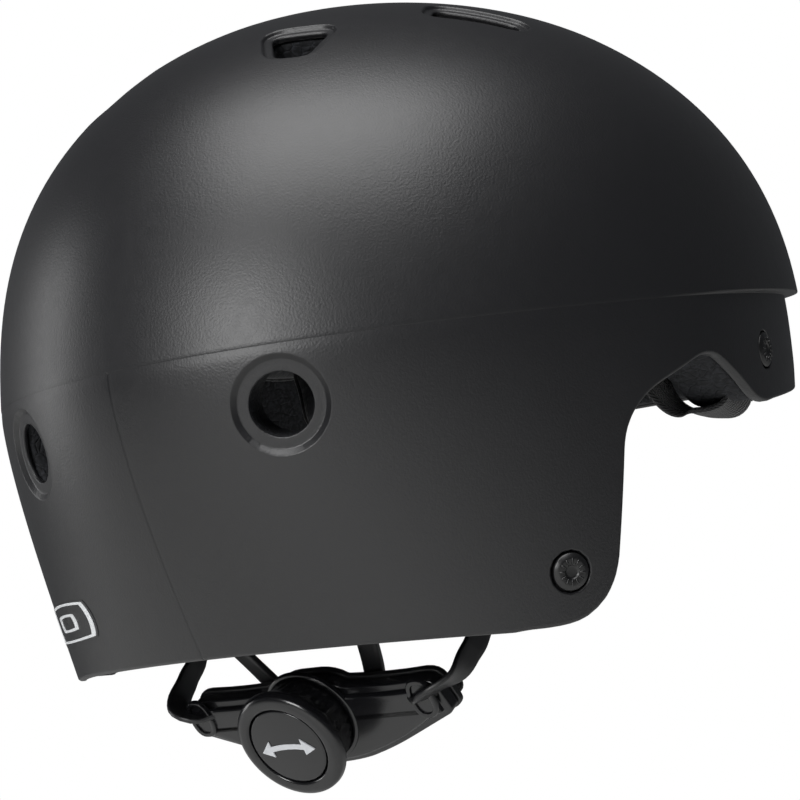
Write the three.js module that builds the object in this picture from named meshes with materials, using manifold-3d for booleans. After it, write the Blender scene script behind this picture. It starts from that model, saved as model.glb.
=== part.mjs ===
// A half-cut water helmet: moulded shell with a brim crease, foam liner, vents, comfort pads,
// a dial-adjusted nape cradle and a riveted chin strap that is folded up inside the cavity.
// Millimetres. +Z up, the wearer faces -Y, the wearer's right is -X.
// The origin is the centre of the head opening, in the plane of the rear rim.
import * as THREE from 'three';
import { mergeVertices } from 'three/addons/utils/BufferGeometryUtils.js';
import Module from 'manifold-3d';

const wasm = await Module();
wasm.setup();

// ---- driving dimensions ------------------------------------------------------------------
const HALF_WIDTH = 112;        // dome half width at its widest
const REAR_REACH = 126;        // centre to rear of the dome
const FRONT_REACH = 144.6;     // centre to front of the dome
const PLAN_POWER = 1.9;        // roundness of the outline seen from above
const CROWN = 188.2;           // height of the crown over the rear rim
const WIDEST_REAR = 69.3;      // height of the widest level at the back
const WIDEST_SIDE = 77.2;      // and at the sides and front
const DOME_REAR = 2.48;        // squareness of the dome profile at the back
const DOME_SIDE = 2.64;        // and at the sides
const TUCK_REAR = 0.23;        // how far the shell draws in to the rear rim
const TUCK_SIDE = 0.077;
const TUCK_POWER = 1.36;
const CREASE = { base: 86.7, slope: -0.147, bend: 0.0002 };  // height of the brim crease over y
const STEP_FRONT = 5;          // how far the dome overhangs the lower band in front
const STEP_REAR = 0.7;         // and at the back
const WALL = 3;                // shell wall
const GAP = 0.3;               // clearance between fitted pieces
const FOAM_TOP = 20;           // liner thickness over the crown
const FOAM_RIM = 10;           // and at the rear rim
const COLUMNS = 40;            // facets round the dome
const PAD = 8;                 // comfort pad thickness
const HOOK = 1.2;              // hook-and-loop patch thickness
const PATCH_GAP = 1;           // patch to liner and to pad, which the facets of both need
const WEB = 1.6;               // webbing thickness
const LEG_WIDTH = 16;          // strap legs
const CHIN_WIDTH = 19;         // chin webbing
const RIVET_R = 4.7;           // rivet head radius
const STEM_R = 2.3;            // rivet stem radius

const DIAL_FACE = [0, 66, -23.3];   // centre of the dial face
const DIAL_TILT = 34.5;             // degrees below level that the dial faces
const DIAL_R = 16.1;
const DIAL_CAP_R = 11.4;
const PINION_R = 2.9;          // tips of the pinion teeth
const RACK_TRAVEL = 12;
const RACK_END = 42;           // outer end of each rack from the middle
const PLATE = { back: -22.3, top: -20.2 };        // nape plate, depth behind the dial face
const COVER = { back: -19.9, top: -13.8 };
const CRADLE_PIVOT = [86, 33]; // y and z of the arm roots
const SWING = 10;              // degrees

const BLACK = 0x141516, SATIN = 0x1d1e20, FOAM = 0x3c3e41, CLOTH = 0x1a1b1d, GREY = 0x8b8e92;

// ---- small helpers -----------------------------------------------------------------------
const rad = (degrees) => (degrees * Math.PI) / 180;
const vec = (x, y, z) => new THREE.Vector3(x, y, z);
const clamp = (x, low, high) => Math.min(high, Math.max(low, x));
const smooth = (x, low, high) => THREE.MathUtils.smoothstep(x, low, high);
const span = (count) => Array.from({ length: count + 1 }, (_, i) => i / count);

function geometryFrom(points, faces) {
  const geometry = new THREE.BufferGeometry();
  geometry.setAttribute('position', new THREE.Float32BufferAttribute(points.flatMap((p) => [p.x, p.y, p.z]), 3));
  geometry.setIndex(faces.flat());
  return facingOut(geometry);
}

function facingOut(geometry) {
  const p = geometry.attributes.position, index = geometry.index.array;
  const a = vec(0, 0, 0), b = vec(0, 0, 0), c = vec(0, 0, 0);
  let volume = 0;
  for (let i = 0; i < index.length; i += 3) {
    a.fromBufferAttribute(p, index[i]);
    b.fromBufferAttribute(p, index[i + 1]);
    c.fromBufferAttribute(p, index[i + 2]);
    volume += a.dot(b.cross(c));
  }
  if (volume < 0) {
    for (let i = 0; i < index.length; i += 3) [index[i + 1], index[i + 2]] = [index[i + 2], index[i + 1]];
  }
  return geometry;
}

// Drops the triangles that collapse where a turned body meets its axis.
function withoutSlivers(geometry) {
  const kept = [], index = geometry.index.array;
  for (let i = 0; i < index.length; i += 3) {
    const [a, b, c] = index.slice(i, i + 3);
    if (a !== b && b !== c && c !== a) kept.push(a, b, c);
  }
  geometry.setIndex(kept);
  return geometry;
}

function solid(geometry) {
  const bare = geometry.clone();
  bare.deleteAttribute('normal');
  bare.deleteAttribute('uv');
  const merged = withoutSlivers(mergeVertices(bare, 1e-4));
  return new wasm.Manifold(new wasm.Mesh({
    numProp: 3,
    vertProperties: new Float32Array(merged.attributes.position.array),
    triVerts: new Uint32Array(merged.index.array),
  }));
}

function geometryOf(manifold) {
  const mesh = manifold.getMesh();
  const geometry = new THREE.BufferGeometry();
  geometry.setAttribute('position', new THREE.BufferAttribute(new Float32Array(mesh.vertProperties), 3));
  geometry.setIndex(new THREE.BufferAttribute(new Uint32Array(mesh.triVerts), 1));
  return geometry;
}

const cutAll = (body, cutters) => geometryOf(cutters.reduce((left, c) => left.subtract(solid(c)), solid(body)));
const joinAll = (bodies) => geometryOf(bodies.map(solid).reduce((left, next) => left.add(next)));

function placed(geometry, matrix) {
  const moved = geometry.clone().applyMatrix4(matrix);
  moved.deleteAttribute('normal');
  moved.deleteAttribute('uv');
  return facingOut(withoutSlivers(mergeVertices(moved, 1e-4)));
}

function block(x0, x1, y0, y1, z0, z1) {
  const box = new THREE.BoxGeometry(x1 - x0, y1 - y0, z1 - z0);
  return box.translate((x0 + x1) / 2, (y0 + y1) / 2, (z0 + z1) / 2);
}

// A turned body about local Z from a [radius, height] profile that starts and ends on the axis,
// or is closed on itself when it stays off the axis.
function turned(profile, sides = 32) {
  const closed = profile[0][0] > 0 ? [...profile, profile[0]] : profile;
  return new THREE.LatheGeometry(closed.map(([r, h]) => new THREE.Vector2(r, h)), sides).rotateX(Math.PI / 2);
}

function extruded(shape, low, high, curveSegments = 6) {
  const body = new THREE.ExtrudeGeometry(shape, { depth: high - low, bevelEnabled: false, curveSegments });
  return body.translate(0, 0, low);
}

function roundedBox(width, height, radius) {
  const x = width / 2, y = height / 2, r = radius;
  const shape = new THREE.Shape();
  shape.moveTo(-x + r, -y).lineTo(x - r, -y).absarc(x - r, -y + r, r, -Math.PI / 2, 0);
  shape.lineTo(x, y - r).absarc(x - r, y - r, r, 0, Math.PI / 2);
  shape.lineTo(-x + r, y).absarc(-x + r, y - r, r, Math.PI / 2, Math.PI);
  shape.lineTo(-x, -y + r).absarc(-x + r, -y + r, r, Math.PI, Math.PI * 1.5);
  return shape;
}

// A solid lofted through rings of equal point count, closed by flat ends.
function loft(rings) {
  const count = rings[0].length, faces = [];
  rings.slice(1).forEach((_, row) => {
    for (let i = 0; i < count; i++) {
      const j = (i + 1) % count, low = row * count, high = low + count;
      faces.push([low + i, low + j, high + j], [low + i, high + j, high + i]);
    }
  });
  const end = (rings.length - 1) * count;
  for (let i = 1; i < count - 1; i++) faces.push([0, i + 1, i], [end, end + i, end + i + 1]);
  return geometryFrom(rings.flat(), faces);
}

// A flat band of webbing or plastic along a smooth path; `across` gives its width direction.
function band(path, across, width, thickness, steps) {
  const curve = new THREE.CatmullRomCurve3(path, false, 'centripetal');
  return loft(span(steps).map((s) => {
    const centre = curve.getPointAt(s), along = curve.getTangentAt(s);
    const side = across(s).clone().addScaledVector(along, -across(s).dot(along)).normalize();
    const face = along.clone().cross(side);
    return [[-1, -1], [1, -1], [1, 1], [-1, 1]].map(([a, b]) => centre.clone()
      .addScaledVector(side, (a * width) / 2).addScaledVector(face, (b * thickness) / 2));
  }));
}

// ---- the dome surface --------------------------------------------------------------------
// `turn` is the azimuth in radians: 0 at the rear, a quarter turn at the wearer's right.
// `rise` is 0 at the widest level, a quarter turn at the crown, -1 at the rear rim plane.
function traits(turn) {
  const c = Math.cos(turn), rear = c > 0 ? c * c : 0;
  return {
    reach: c > 0 ? REAR_REACH : FRONT_REACH,
    widest: WIDEST_SIDE + (WIDEST_REAR - WIDEST_SIDE) * rear,
    dome: DOME_SIDE + (DOME_REAR - DOME_SIDE) * rear,
    tuck: TUCK_SIDE + (TUCK_REAR - TUCK_SIDE) * rear,
  };
}

// A point on the dome drawn in by `inset` from the outer surface.
function domePoint(turn, rise, inset = 0) {
  const { reach, widest, dome, tuck } = traits(turn);
  const c = Math.cos(turn), s = Math.sin(turn), power = 2 / PLAN_POWER;
  const up = Math.max(rise, 0), down = Math.max(-rise, 0);
  const g = Math.cos(up) - tuck * down ** TUCK_POWER;
  const z = up > 0 ? widest + (CROWN - inset - widest) * Math.sin(up) ** (2 / dome) : widest * (1 - down);
  return vec(
    -(HALF_WIDTH - inset) * Math.sign(s) * Math.abs(s) ** power * g,
    (reach - inset) * Math.sign(c) * Math.abs(c) ** power * g,
    z,
  );
}

function riseAt(turn, z, inset = 0) {
  const { widest, dome } = traits(turn);
  if (z <= widest) return (z - widest) / widest;
  return Math.asin(clamp((z - widest) / (CROWN - inset - widest), 0, 1) ** (dome / 2));
}

function creaseHeight(turn, inset) {
  let z = CREASE.base;
  for (let i = 0; i < 4; i++) {
    const { y } = domePoint(turn, riseAt(turn, z, inset), inset);
    z = CREASE.base + CREASE.slope * y + CREASE.bend * y * y;
  }
  return z;
}

// level 0 is the rear rim plane, 1 the brim crease, 2 the crown.
function levelPoint(turn, level, inset = 0) {
  const crease = creaseHeight(turn, inset);
  if (level <= 1) return domePoint(turn, riseAt(turn, level * crease, inset), inset);
  const start = riseAt(turn, crease, inset);
  return domePoint(turn, start + (level - 1) * (Math.PI / 2 - start), inset);
}

const pointAt = (degrees, z, inset = 0) => domePoint(rad(degrees), riseAt(rad(degrees), z, inset), inset);
const brimStep = (turn) => STEP_REAR + (STEP_FRONT - STEP_REAR) * smooth(-Math.cos(turn), -0.35, 0.8);

// Axes at a point of the outer surface: X sideways, Y up the surface, Z outward.
function surfaceFrame(degrees, z, inset = 0) {
  const turn = rad(degrees), rise = riseAt(turn, z, inset), h = 0.01;
  const up = domePoint(turn, rise + h, inset).sub(domePoint(turn, rise - h, inset)).normalize();
  const side = domePoint(turn - h, rise, inset).sub(domePoint(turn + h, rise, inset));
  const out = side.clone().cross(up).normalize();
  if (out.dot(vec(0, 0, 40).sub(domePoint(turn, rise, inset))) > 0) out.negate();
  const across = up.clone().cross(out).normalize();
  return new THREE.Matrix4().makeBasis(across, up, out).setPosition(domePoint(turn, rise, inset));
}

// A closed dome between two skins, each a list of [level, inset function] rows from rim to crown.
function domeBody(outerRows, innerRows, columns = COLUMNS) {
  const points = [], faces = [];
  const ring = (level, inset) => {
    for (let i = 0; i < columns; i++) {
      const turn = (i / columns) * Math.PI * 2;
      points.push(levelPoint(turn, level, inset(turn)));
    }
  };
  const skin = (rows) => {
    const start = points.length;
    rows.forEach(([level, inset]) => ring(level, inset));
    points.push(vec(0, 0, CROWN - rows[rows.length - 1][1](0)));
    return { start, rows: rows.length, apex: points.length - 1 };
  };
  const quads = (low, high) => {
    for (let i = 0; i < columns; i++) {
      const j = (i + 1) % columns;
      faces.push([low + i, low + j, high + j], [low + i, high + j, high + i]);
    }
  };
  const outer = skin(outerRows), inner = skin(innerRows);
  for (const { start, rows, apex } of [outer, inner]) {
    for (let r = 0; r < rows - 1; r++) quads(start + r * columns, start + (r + 1) * columns);
    const last = start + (rows - 1) * columns;
    for (let i = 0; i < columns; i++) faces.push([last + i, last + ((i + 1) % columns), apex]);
  }
  const outerCount = faces.length / 2;   // both skins hold the same number of rows
  for (let f = outerCount; f < faces.length; f++) faces[f].reverse();
  for (let i = 0; i < columns; i++) {
    const j = (i + 1) % columns;
    faces.push([inner.start + i, inner.start + j, outer.start + j], [inner.start + i, outer.start + j, outer.start + i]);
  }
  return geometryFrom(points, faces);
}

const DOME_LEVELS = [1.09, 1.22, 1.36, 1.5, 1.64, 1.78, 1.91];
const BAND_LEVELS = [0.35, 0.7];

// The ear opening, seen from the wearer's left with y to the right: the upright front edge of
// the rear flap, the arch over the ear and the rising lower edge of the brow.
function earOutline(margin) {
  const m = margin;
  const shape = new THREE.Shape();
  shape.moveTo(-190, -40).lineTo(-190, 94 + m).lineTo(-23, 60.6 + m);
  shape.quadraticCurveTo(-12, 57.2 + m, -4, 60.8 + m);
  shape.lineTo(11, 67.2 + m).quadraticCurveTo(17.5, 70.2 + m, 24, 66.4 + m);
  shape.lineTo(36 + m, 60 + m).quadraticCurveTo(46.2 + m, 54, 46.2 + m, 44);
  shape.lineTo(45.6 + m, 17).quadraticCurveTo(46 + m, 0.5, 63 + m, -0.6);
  shape.lineTo(63 + m, -40);
  return shape;
}

// Reads an outline's x as the helmet's y and its y as the helmet's z, and runs it across x.
const SIDEWAYS = new THREE.Matrix4().makeBasis(vec(0, 1, 0), vec(0, 0, 1), vec(1, 0, 0));
const earCutter = (margin) => placed(extruded(earOutline(margin), -140, 140, 5), SIDEWAYS);

// ---- vents -------------------------------------------------------------------------------
const ROUND_VENT = { turn: 24.2, z: 57.7, hole: 8, floor: 11, rim: 12.3, depth: 1.5 };
// The slanted vents: position, and width, height and lean of the opening.
const SLANT_VENTS = [
  { turn: 24.5, z: 159, width: 15, height: 15, lean: 0 },
  { turn: 60, z: 168, width: 12, height: 24, lean: 62 },
  { turn: 124, z: 166, width: 12, height: 26, lean: -42 },
  { turn: 156, z: 143, width: 15, height: 20, lean: -8 },
];

function wedgeOutline({ width, height }, grow) {
  const x = width / 2 + grow, y = height / 2 + grow, r = 3 + grow * 0.4;
  const shape = new THREE.Shape();
  shape.moveTo(-x * 0.62 + r, -y).lineTo(x * 0.62 - r, -y).quadraticCurveTo(x * 0.62, -y, x * 0.7, -y + r);
  shape.lineTo(x, y - r).quadraticCurveTo(x, y, x - r, y);
  shape.lineTo(-x + r, y).quadraticCurveTo(-x, y, -x, y - r);
  shape.lineTo(-x * 0.7, -y + r).quadraticCurveTo(-x * 0.62, -y, -x * 0.62 + r, -y);
  return shape;
}

const ventFrame = (vent, side) => surfaceFrame(vent.turn * side, vent.z)
  .multiply(new THREE.Matrix4().makeRotationZ(rad((vent.lean ?? 0) * side)));

function ventCutters(inLiner) {
  const cutters = [];
  for (const side of [1, -1]) {
    const { hole, floor, rim, depth } = ROUND_VENT;
    const dish = inLiner
      ? turned([[0, -60], [hole + 0.4, -60], [hole + 0.4, 4], [0, 4]], 16)
      : turned([[0, -9], [hole, -9], [hole, -depth], [floor, -depth], [rim, 0.3], [rim + 2.5, 4], [0, 4]], 20);
    cutters.push(placed(dish, ventFrame(ROUND_VENT, side)));
    for (const vent of SLANT_VENTS) {
      const frame = ventFrame(vent, side);
      if (inLiner) cutters.push(placed(extruded(wedgeOutline(vent, 0.4), -45, 4, 2), frame));
      else {
        cutters.push(placed(extruded(wedgeOutline(vent, 0), -9, 5, 2), frame));
        cutters.push(placed(extruded(wedgeOutline(vent, 2.4), -1.2, 5, 2), frame));
      }
    }
  }
  return cutters;
}

// ---- rivets and strap anchors ------------------------------------------------------------
const RIVETS = { front: { turn: 97.5, z: 73.3 }, rear: { turn: 58.9, z: 14.2 } };
const SEAT = 2.2;              // the rivet heads sit this deep in the wall
const rivetFrame = ({ turn, z }, side) => surfaceFrame(turn * side, z, SEAT + brimStep(rad(turn)));

function rivetHoles(radius, low, high) {
  return Object.values(RIVETS).flatMap((at) => [1, -1].map((side) =>
    placed(turned([[0, low], [radius, low], [radius, high], [0, high]], 12), rivetFrame(at, side))));
}

function rivet(at, side) {
  const profile = [[0, 3.2], [RIVET_R - 1.2, 3.1], [RIVET_R, 2.3], [RIVET_R, 0.9], [STEM_R, 0.9],
    [STEM_R, -6], [0, -6]];
  return placed(turned(profile, 12), rivetFrame(at, side));
}

function anchorPlate(at, side) {
  const plate = extruded(roundedBox(17, 12, 3), -5, -3.6, 2);
  const hole = turned([[0, -9], [STEM_R + GAP, -9], [STEM_R + GAP, 0], [0, 0]], 12);
  return placed(cutAll(plate, [hole]), rivetFrame(at, side));
}

// The liner opens behind each rivet for its anchor, its stem and the end of the webbing.
function anchorPockets() {
  const pockets = [];
  for (const side of [1, -1]) {
    pockets.push(placed(block(-11, 11, -26, 8, -9, 4), rivetFrame(RIVETS.front, side)));
    pockets.push(placed(block(-11, 11, -8, 8, -9, 4), rivetFrame(RIVETS.rear, side)));
    pockets.push(placed(block(-11, 11, 1, 11, -30, -4), rivetFrame(RIVETS.rear, side)));
  }
  return pockets;
}

// ---- shell and liner ---------------------------------------------------------------------
const wallInset = (turn) => WALL + brimStep(turn);
const blended = (level) => 1 - smooth(level, 1, 1.35);
const shellInner = (level) => (turn) => WALL + brimStep(turn) * blended(level);
const foam = (level) => FOAM_RIM + (FOAM_TOP - FOAM_RIM) * smooth(level, 0, 1.1);
const linerOuter = (level) => (turn) => shellInner(level)(turn) + GAP;
const linerInner = (level) => (turn) => shellInner(level)(turn) + GAP + foam(level);

function outerShell() {
  const band = (level) => [level, (turn) => brimStep(turn)];
  const outer = [0, ...BAND_LEVELS, 0.97].map(band);
  outer.push([1, () => 0], ...DOME_LEVELS.map((level) => [level, () => 0]));
  const inner = [0, ...BAND_LEVELS, 0.97, 1, ...DOME_LEVELS].map((level) => [level, shellInner(level)]);
  const seats = rivetHoles(RIVET_R + 0.5, 0.6, 9);
  return cutAll(domeBody(outer, inner), [earCutter(0), ...ventCutters(false), ...seats,
    ...rivetHoles(STEM_R + GAP, -9, 3)]);
}

function foamLiner() {
  const levels = [0.012, ...BAND_LEVELS, 0.97, 1, ...DOME_LEVELS];
  const outer = levels.map((level) => [level, linerOuter(level)]);
  const inner = levels.map((level) => [level, linerInner(level)]);
  return cutAll(domeBody(outer, inner), [earCutter(1.2), ...ventCutters(true), ...anchorPockets()]);
}

// ---- pads and hook patches ---------------------------------------------------------------
const padBack = (level, turn) => linerInner(level)(turn) + HOOK + 2 * PATCH_GAP;

// A cushion lying on the liner, with rounded corners: centre, half sizes, back inset, thickness.
function cushion({ turn, level, halfTurn, halfLevel }, back, thickness, round = 0.45, cells = 6) {
  const points = [], faces = [], side = cells + 1;
  for (const depth of [0, thickness]) {
    for (const b of span(cells)) {
      for (const a of span(cells)) {
        const p = 2 * a - 1, q = 2 * b - 1;
        const u = p * Math.sqrt(1 - (round * q * q) / 2), v = q * Math.sqrt(1 - (round * p * p) / 2);
        const where = rad(turn + u * halfTurn), up = level + v * halfLevel;
        points.push(levelPoint(where, up, back(up, where) + depth));
      }
    }
  }
  const at = (layer, i, j) => layer * side * side + j * side + i;
  for (let j = 0; j < cells; j++) {
    for (let i = 0; i < cells; i++) {
      faces.push([at(0, i, j), at(0, i + 1, j), at(0, i + 1, j + 1)], [at(0, i, j), at(0, i + 1, j + 1), at(0, i, j + 1)]);
      faces.push([at(1, i, j), at(1, i + 1, j + 1), at(1, i + 1, j)], [at(1, i, j), at(1, i, j + 1), at(1, i + 1, j + 1)]);
    }
  }
  const edge = [];
  for (let i = 0; i < cells; i++) edge.push([i, 0]);
  for (let j = 0; j < cells; j++) edge.push([cells, j]);
  for (let i = cells; i > 0; i--) edge.push([i, cells]);
  for (let j = cells; j > 0; j--) edge.push([0, j]);
  edge.forEach(([i, j], k) => {
    const [m, n] = edge[(k + 1) % edge.length];
    faces.push([at(0, i, j), at(1, i, j), at(1, m, n)], [at(0, i, j), at(1, m, n), at(0, m, n)]);
  });
  return geometryFrom(points, faces);
}

const PADS = {
  pad_brow: { turn: 180, level: 1.06, halfTurn: 40, halfLevel: 0.2 },
  pad_side_right: { turn: 114, level: 1.22, halfTurn: 16, halfLevel: 0.2 },
  pad_side_left: { turn: -114, level: 1.22, halfTurn: 16, halfLevel: 0.2 },
  pad_rear_right: { turn: 38, level: 0.98, halfTurn: 17, halfLevel: 0.3 },
  pad_rear_left: { turn: -38, level: 0.98, halfTurn: 17, halfLevel: 0.3 },
};

const pad = (place) => cushion(place, padBack, PAD);

function hookPatch(place) {
  const small = { ...place, halfTurn: place.halfTurn * 0.45, halfLevel: place.halfLevel * 0.5 };
  return cushion(small, (level, turn) => linerInner(level)(turn) + PATCH_GAP, HOOK, 0.9, 4);
}

function crownPad(back, thickness, from) {
  const rows = [0, 0.33, 0.66].map((s) => from + s * (2 - from));
  const skin = (extra) => rows.map((level) => [level, (turn) => linerInner(level)(turn) + back + extra]);
  return domeBody(skin(0), skin(thickness), COLUMNS / 2);
}

// ---- nape cradle -------------------------------------------------------------------------
// Local axes: X toward the wearer's right, Y up the nape, Z out along the dial's axis.
const tilt = rad(DIAL_TILT);
const DIAL = new THREE.Matrix4().makeBasis(
  vec(-1, 0, 0), vec(0, Math.sin(tilt), Math.cos(tilt)), vec(0, Math.cos(tilt), -Math.sin(tilt)),
).setPosition(...DIAL_FACE);

// The bat-wing outline of the cradle, shrunk by `inset`.
function wingOutline(inset) {
  const i = inset;
  const half = (shape, s) => {
    const x = (value) => value * s;
    return { shape, x };
  };
  const shape = new THREE.Shape();
  const right = half(shape, 1), left = half(shape, -1);
  shape.moveTo(right.x(0), 10.2 - i).lineTo(3.5, 10.2 - i).quadraticCurveTo(8.5, 10 - i, 11.5, 7.4 - i);
  shape.quadraticCurveTo(24, 6.4 - i, 37, 7.2 - i).quadraticCurveTo(41.4 - i, 7.2 - i, 42.3 - i, 4);
  shape.lineTo(43.5 - i, -2.4).quadraticCurveTo(43.8 - i, -4.2 + i / 2, 41.8 - i, -5.2 + i);
  shape.lineTo(27, -11 + i).quadraticCurveTo(20, -13.8 + i, 14, -15.4 + i).quadraticCurveTo(9, -17 + i, 0, -17.4 + i);
  shape.quadraticCurveTo(-9, -17 + i, -14, -15.4 + i).quadraticCurveTo(-20, -13.8 + i, -27, -11 + i);
  shape.lineTo(-41.8 + i, -5.2 + i).quadraticCurveTo(-43.8 + i, -4.2 + i / 2, -43.5 + i, -2.4);
  shape.lineTo(-42.3 + i, 4).quadraticCurveTo(-41.4 + i, 7.2 - i, -37, 7.2 - i);
  shape.quadraticCurveTo(-24, 6.4 - i, -11.5, 7.4 - i).quadraticCurveTo(-8.5, 10 - i, left.x(3.5), 10.2 - i);
  return shape;
}

function cradleCover() {
  const channel = block(-60, 60, -4.4, 4.4, COVER.back - 1, -16.2);
  const bore = turned([[0, -18], [PINION_R + 0.6, -18], [PINION_R + 0.6, -10], [0, -10]], 24);
  const lower = extruded(wingOutline(0.4), COVER.back, -15.6, 3);
  const upper = extruded(wingOutline(2), -15.8, COVER.top, 3);
  return placed(geometryOf(solid(joinAll([lower, upper])).subtract(solid(channel)).subtract(solid(bore))), DIAL);
}

// A flat rack strip with a long slot; `side` is 1 for the wearer's right.
function rack(side, low, high) {
  const outline = new THREE.Shape();
  outline.moveTo(-9, -4).lineTo(RACK_END, -4).lineTo(RACK_END, 4).lineTo(-9, 4);
  const slot = new THREE.Path();
  slot.moveTo(-4, -3.2).lineTo(-4, 3.2).lineTo(RACK_TRAVEL + 4.2, 3.2).lineTo(RACK_TRAVEL + 4.2, -3.2);
  outline.holes.push(slot);
  const strip = extruded(outline, low, high);
  return placed(side > 0 ? strip : strip.rotateZ(Math.PI), DIAL);
}

function pinion() {
  const teeth = 9, outline = new THREE.Shape();
  for (let k = 0; k < teeth * 4; k++) {
    const angle = (k / (teeth * 4)) * 2 * Math.PI, r = k % 4 < 2 ? PINION_R : PINION_R - 0.8;
    outline[k ? 'lineTo' : 'moveTo'](r * Math.cos(angle), r * Math.sin(angle));
  }
  const gear = extruded(outline, -19.6, -14.2);
  const stem = turned([[0, -14.6], [2.5, -14.6], [2.5, -6.4], [0, -6.4]], 20);
  const thread = turned([[0, -12], [1.3, -12], [1.3, -5], [0, -5]], 12);
  return placed(cutAll(joinAll([gear, stem]), [thread]), DIAL);
}

function dialKnob() {
  const R = DIAL_R;
  const body = turned([
    [2.9, -13.3], [4.9, -13.3], [4.9, -10.4], [10.4, -10.4], [10.4, -13.3], [R - 3.7, -13.3], [R - 2.6, -8.2],
    [R - 1.2, -5], [R, -2.8], [R - 0.5, -1.2], [R - 1.9, 0], [DIAL_CAP_R + 0.35, 0], [DIAL_CAP_R + 0.35, -1.7],
    [4.4, -1.7], [4.4, -6.1], [2.9, -6.1],
  ], 28);
  return placed(body, DIAL);
}

const dialCap = () => placed(turned([[0, -1.4], [DIAL_CAP_R, -1.4], [DIAL_CAP_R, -0.5],
  [DIAL_CAP_R - 0.8, 0], [0, 0]], 40), DIAL);
const dialScrew = () => placed(turned([[0, -11], [1, -11], [1, -6], [3.4, -6], [3.4, -3.6], [0, -3.6]], 16), DIAL);

function toothedRing(inner, outer, low, high, teeth, outside) {
  const outline = new THREE.Shape(), hole = new THREE.Path();
  const toothed = outside ? outline : hole, plain = outside ? hole : outline;
  for (let k = 0; k < teeth * 2; k++) {
    const base = outside ? outer : inner, r = k % 2 ? base : base + (outside ? -0.7 : 0.7);
    const angle = (k / (teeth * 2)) * 2 * Math.PI;
    toothed[k ? 'lineTo' : 'moveTo'](r * Math.cos(angle), r * Math.sin(angle));
  }
  plain.absarc(0, 0, outside ? inner : outer, 0, 2 * Math.PI);
  outline.holes.push(hole);
  return placed(extruded(outline, low, high, 12), DIAL);
}

function napePad(side) {
  const shape = new THREE.Shape();
  shape.moveTo(5, 2).quadraticCurveTo(20, -0.5, 35, 2).quadraticCurveTo(41, 1, 41, -4);
  shape.quadraticCurveTo(39, -9, 30, -10).quadraticCurveTo(18, -13, 8, -16).quadraticCurveTo(5, -14, 5, -8);
  const cushionBody = extruded(shape, -30.6, -25.4, 4);
  return placed(side > 0 ? cushionBody : cushionBody.scale(-1, 1, 1), DIAL);
}

const inDial = (x, y, z) => vec(x, y, z).applyMatrix4(DIAL);

function cradleArm(side) {
  const path = [inDial(13 * side, -7, -23.9), inDial(15.5 * side, 0, -23.9), inDial(18 * side, 6, -24.2),
    vec(-23.5 * side, 61, 8), vec(-28 * side, 72, 20), vec(-31.5 * side, 82.5, 31.5)];
  return band(path, () => vec(-1, 0.12 * side, 0.25 * side), 6, 2, 10);
}

function armPlug(side) {
  const at = vec(-32.5 * side, 86.5, 35.5), out = vec(-0.27 * side, 0.9, 0.1).normalize();
  const turnTo = new THREE.Quaternion().setFromUnitVectors(vec(0, 0, 1), out);
  const plug = turned([[0, -1.4], [5, -1.4], [5, 0.4], [0, 0.4]], 16);
  return placed(plug, new THREE.Matrix4().compose(at, turnTo, vec(1, 1, 1)));
}

function belt(side) {
  const path = [vec(-49.5, 42.5, 4), vec(-53.5, 39.5, 16), vec(-60.5, 33, 33), vec(-68, 21.5, 52),
    vec(-75, 6, 64.5), vec(-77.6, -8, 70.5), vec(-79, -18.5, 74.5)].map((p) => vec(p.x * side, p.y, p.z));
  const across = (s) => vec(0.1 * side, 0.95 - 0.25 * s, -0.1 - 0.75 * s);
  return band(path, across, 9, 1.6, 14);
}

function beltAnchor(side) {
  const frame = surfaceFrame(106 * side, 76, 28.4);
  return placed(extruded(roundedBox(9, 12, 2), -1.2, 1, 3), frame);
}

// ---- chin strap, folded up inside the cavity ----------------------------------------------
// A level direction along the side of the shell at an azimuth.
function levelwise(degrees) {
  const t = rad(degrees);
  return vec(-Math.cos(t) * HALF_WIDTH, -Math.sin(t) * FRONT_REACH, 0).normalize();
}

// From the pocket behind the front rivet, down under the edge of the foam and up the inside.
function frontLeg(side) {
  const at = (degrees, z, inset) => pointAt(degrees * side, z, inset);
  const path = [at(97.5, 67, 10.6), at(97.5, 60, 10.8), at(97, 54.8, 13), at(96, 53, 18), at(94.5, 55.5, 24.8),
    at(91, 64, 28), at(87.5, 76, 28.6), at(85.6, 88, 28.6)];
  return band(path, () => levelwise(92 * side), LEG_WIDTH, WEB, 18);
}

// From the pocket behind the rear rivet, in through the foam and up the inside.
function rearLeg(side) {
  const at = (degrees, z, inset) => pointAt(degrees * side, z, inset);
  const frame = rivetFrame(RIVETS.rear, side), inPocket = (depth) => vec(0, 6, depth).applyMatrix4(frame);
  const path = [inPocket(-6.4), inPocket(-13), at(60.5, 31, 20.2), at(63, 46, 23.6), at(66.5, 62, 26.6),
    at(71, 76, 28.4), at(74, 85.5, 29)];
  const up = at(72, 80, 28).sub(at(61, 34, 21)).normalize();
  const out = at(67, 58, 0).sub(at(67, 58, 25)).normalize();
  return band(path, () => up.clone().cross(out), LEG_WIDTH, WEB, 16);
}

const DIVIDER = { turn: 80, z: 97, inset: 29.4 };

function divider(side) {
  const frame = surfaceFrame(DIVIDER.turn * side, DIVIDER.z, DIVIDER.inset);
  const plate = extruded(roundedBox(38, 12, 3), -1.6, 1.6, 4);
  const slots = [-9.2, 9.2].map((x) => block(x - 7.8, x + 7.8, -4, -1.6, -4, 4));
  return placed(cutAll(plate, [...slots, block(-10, 10, 1.6, 4, -4, 4)]), frame);
}

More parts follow.
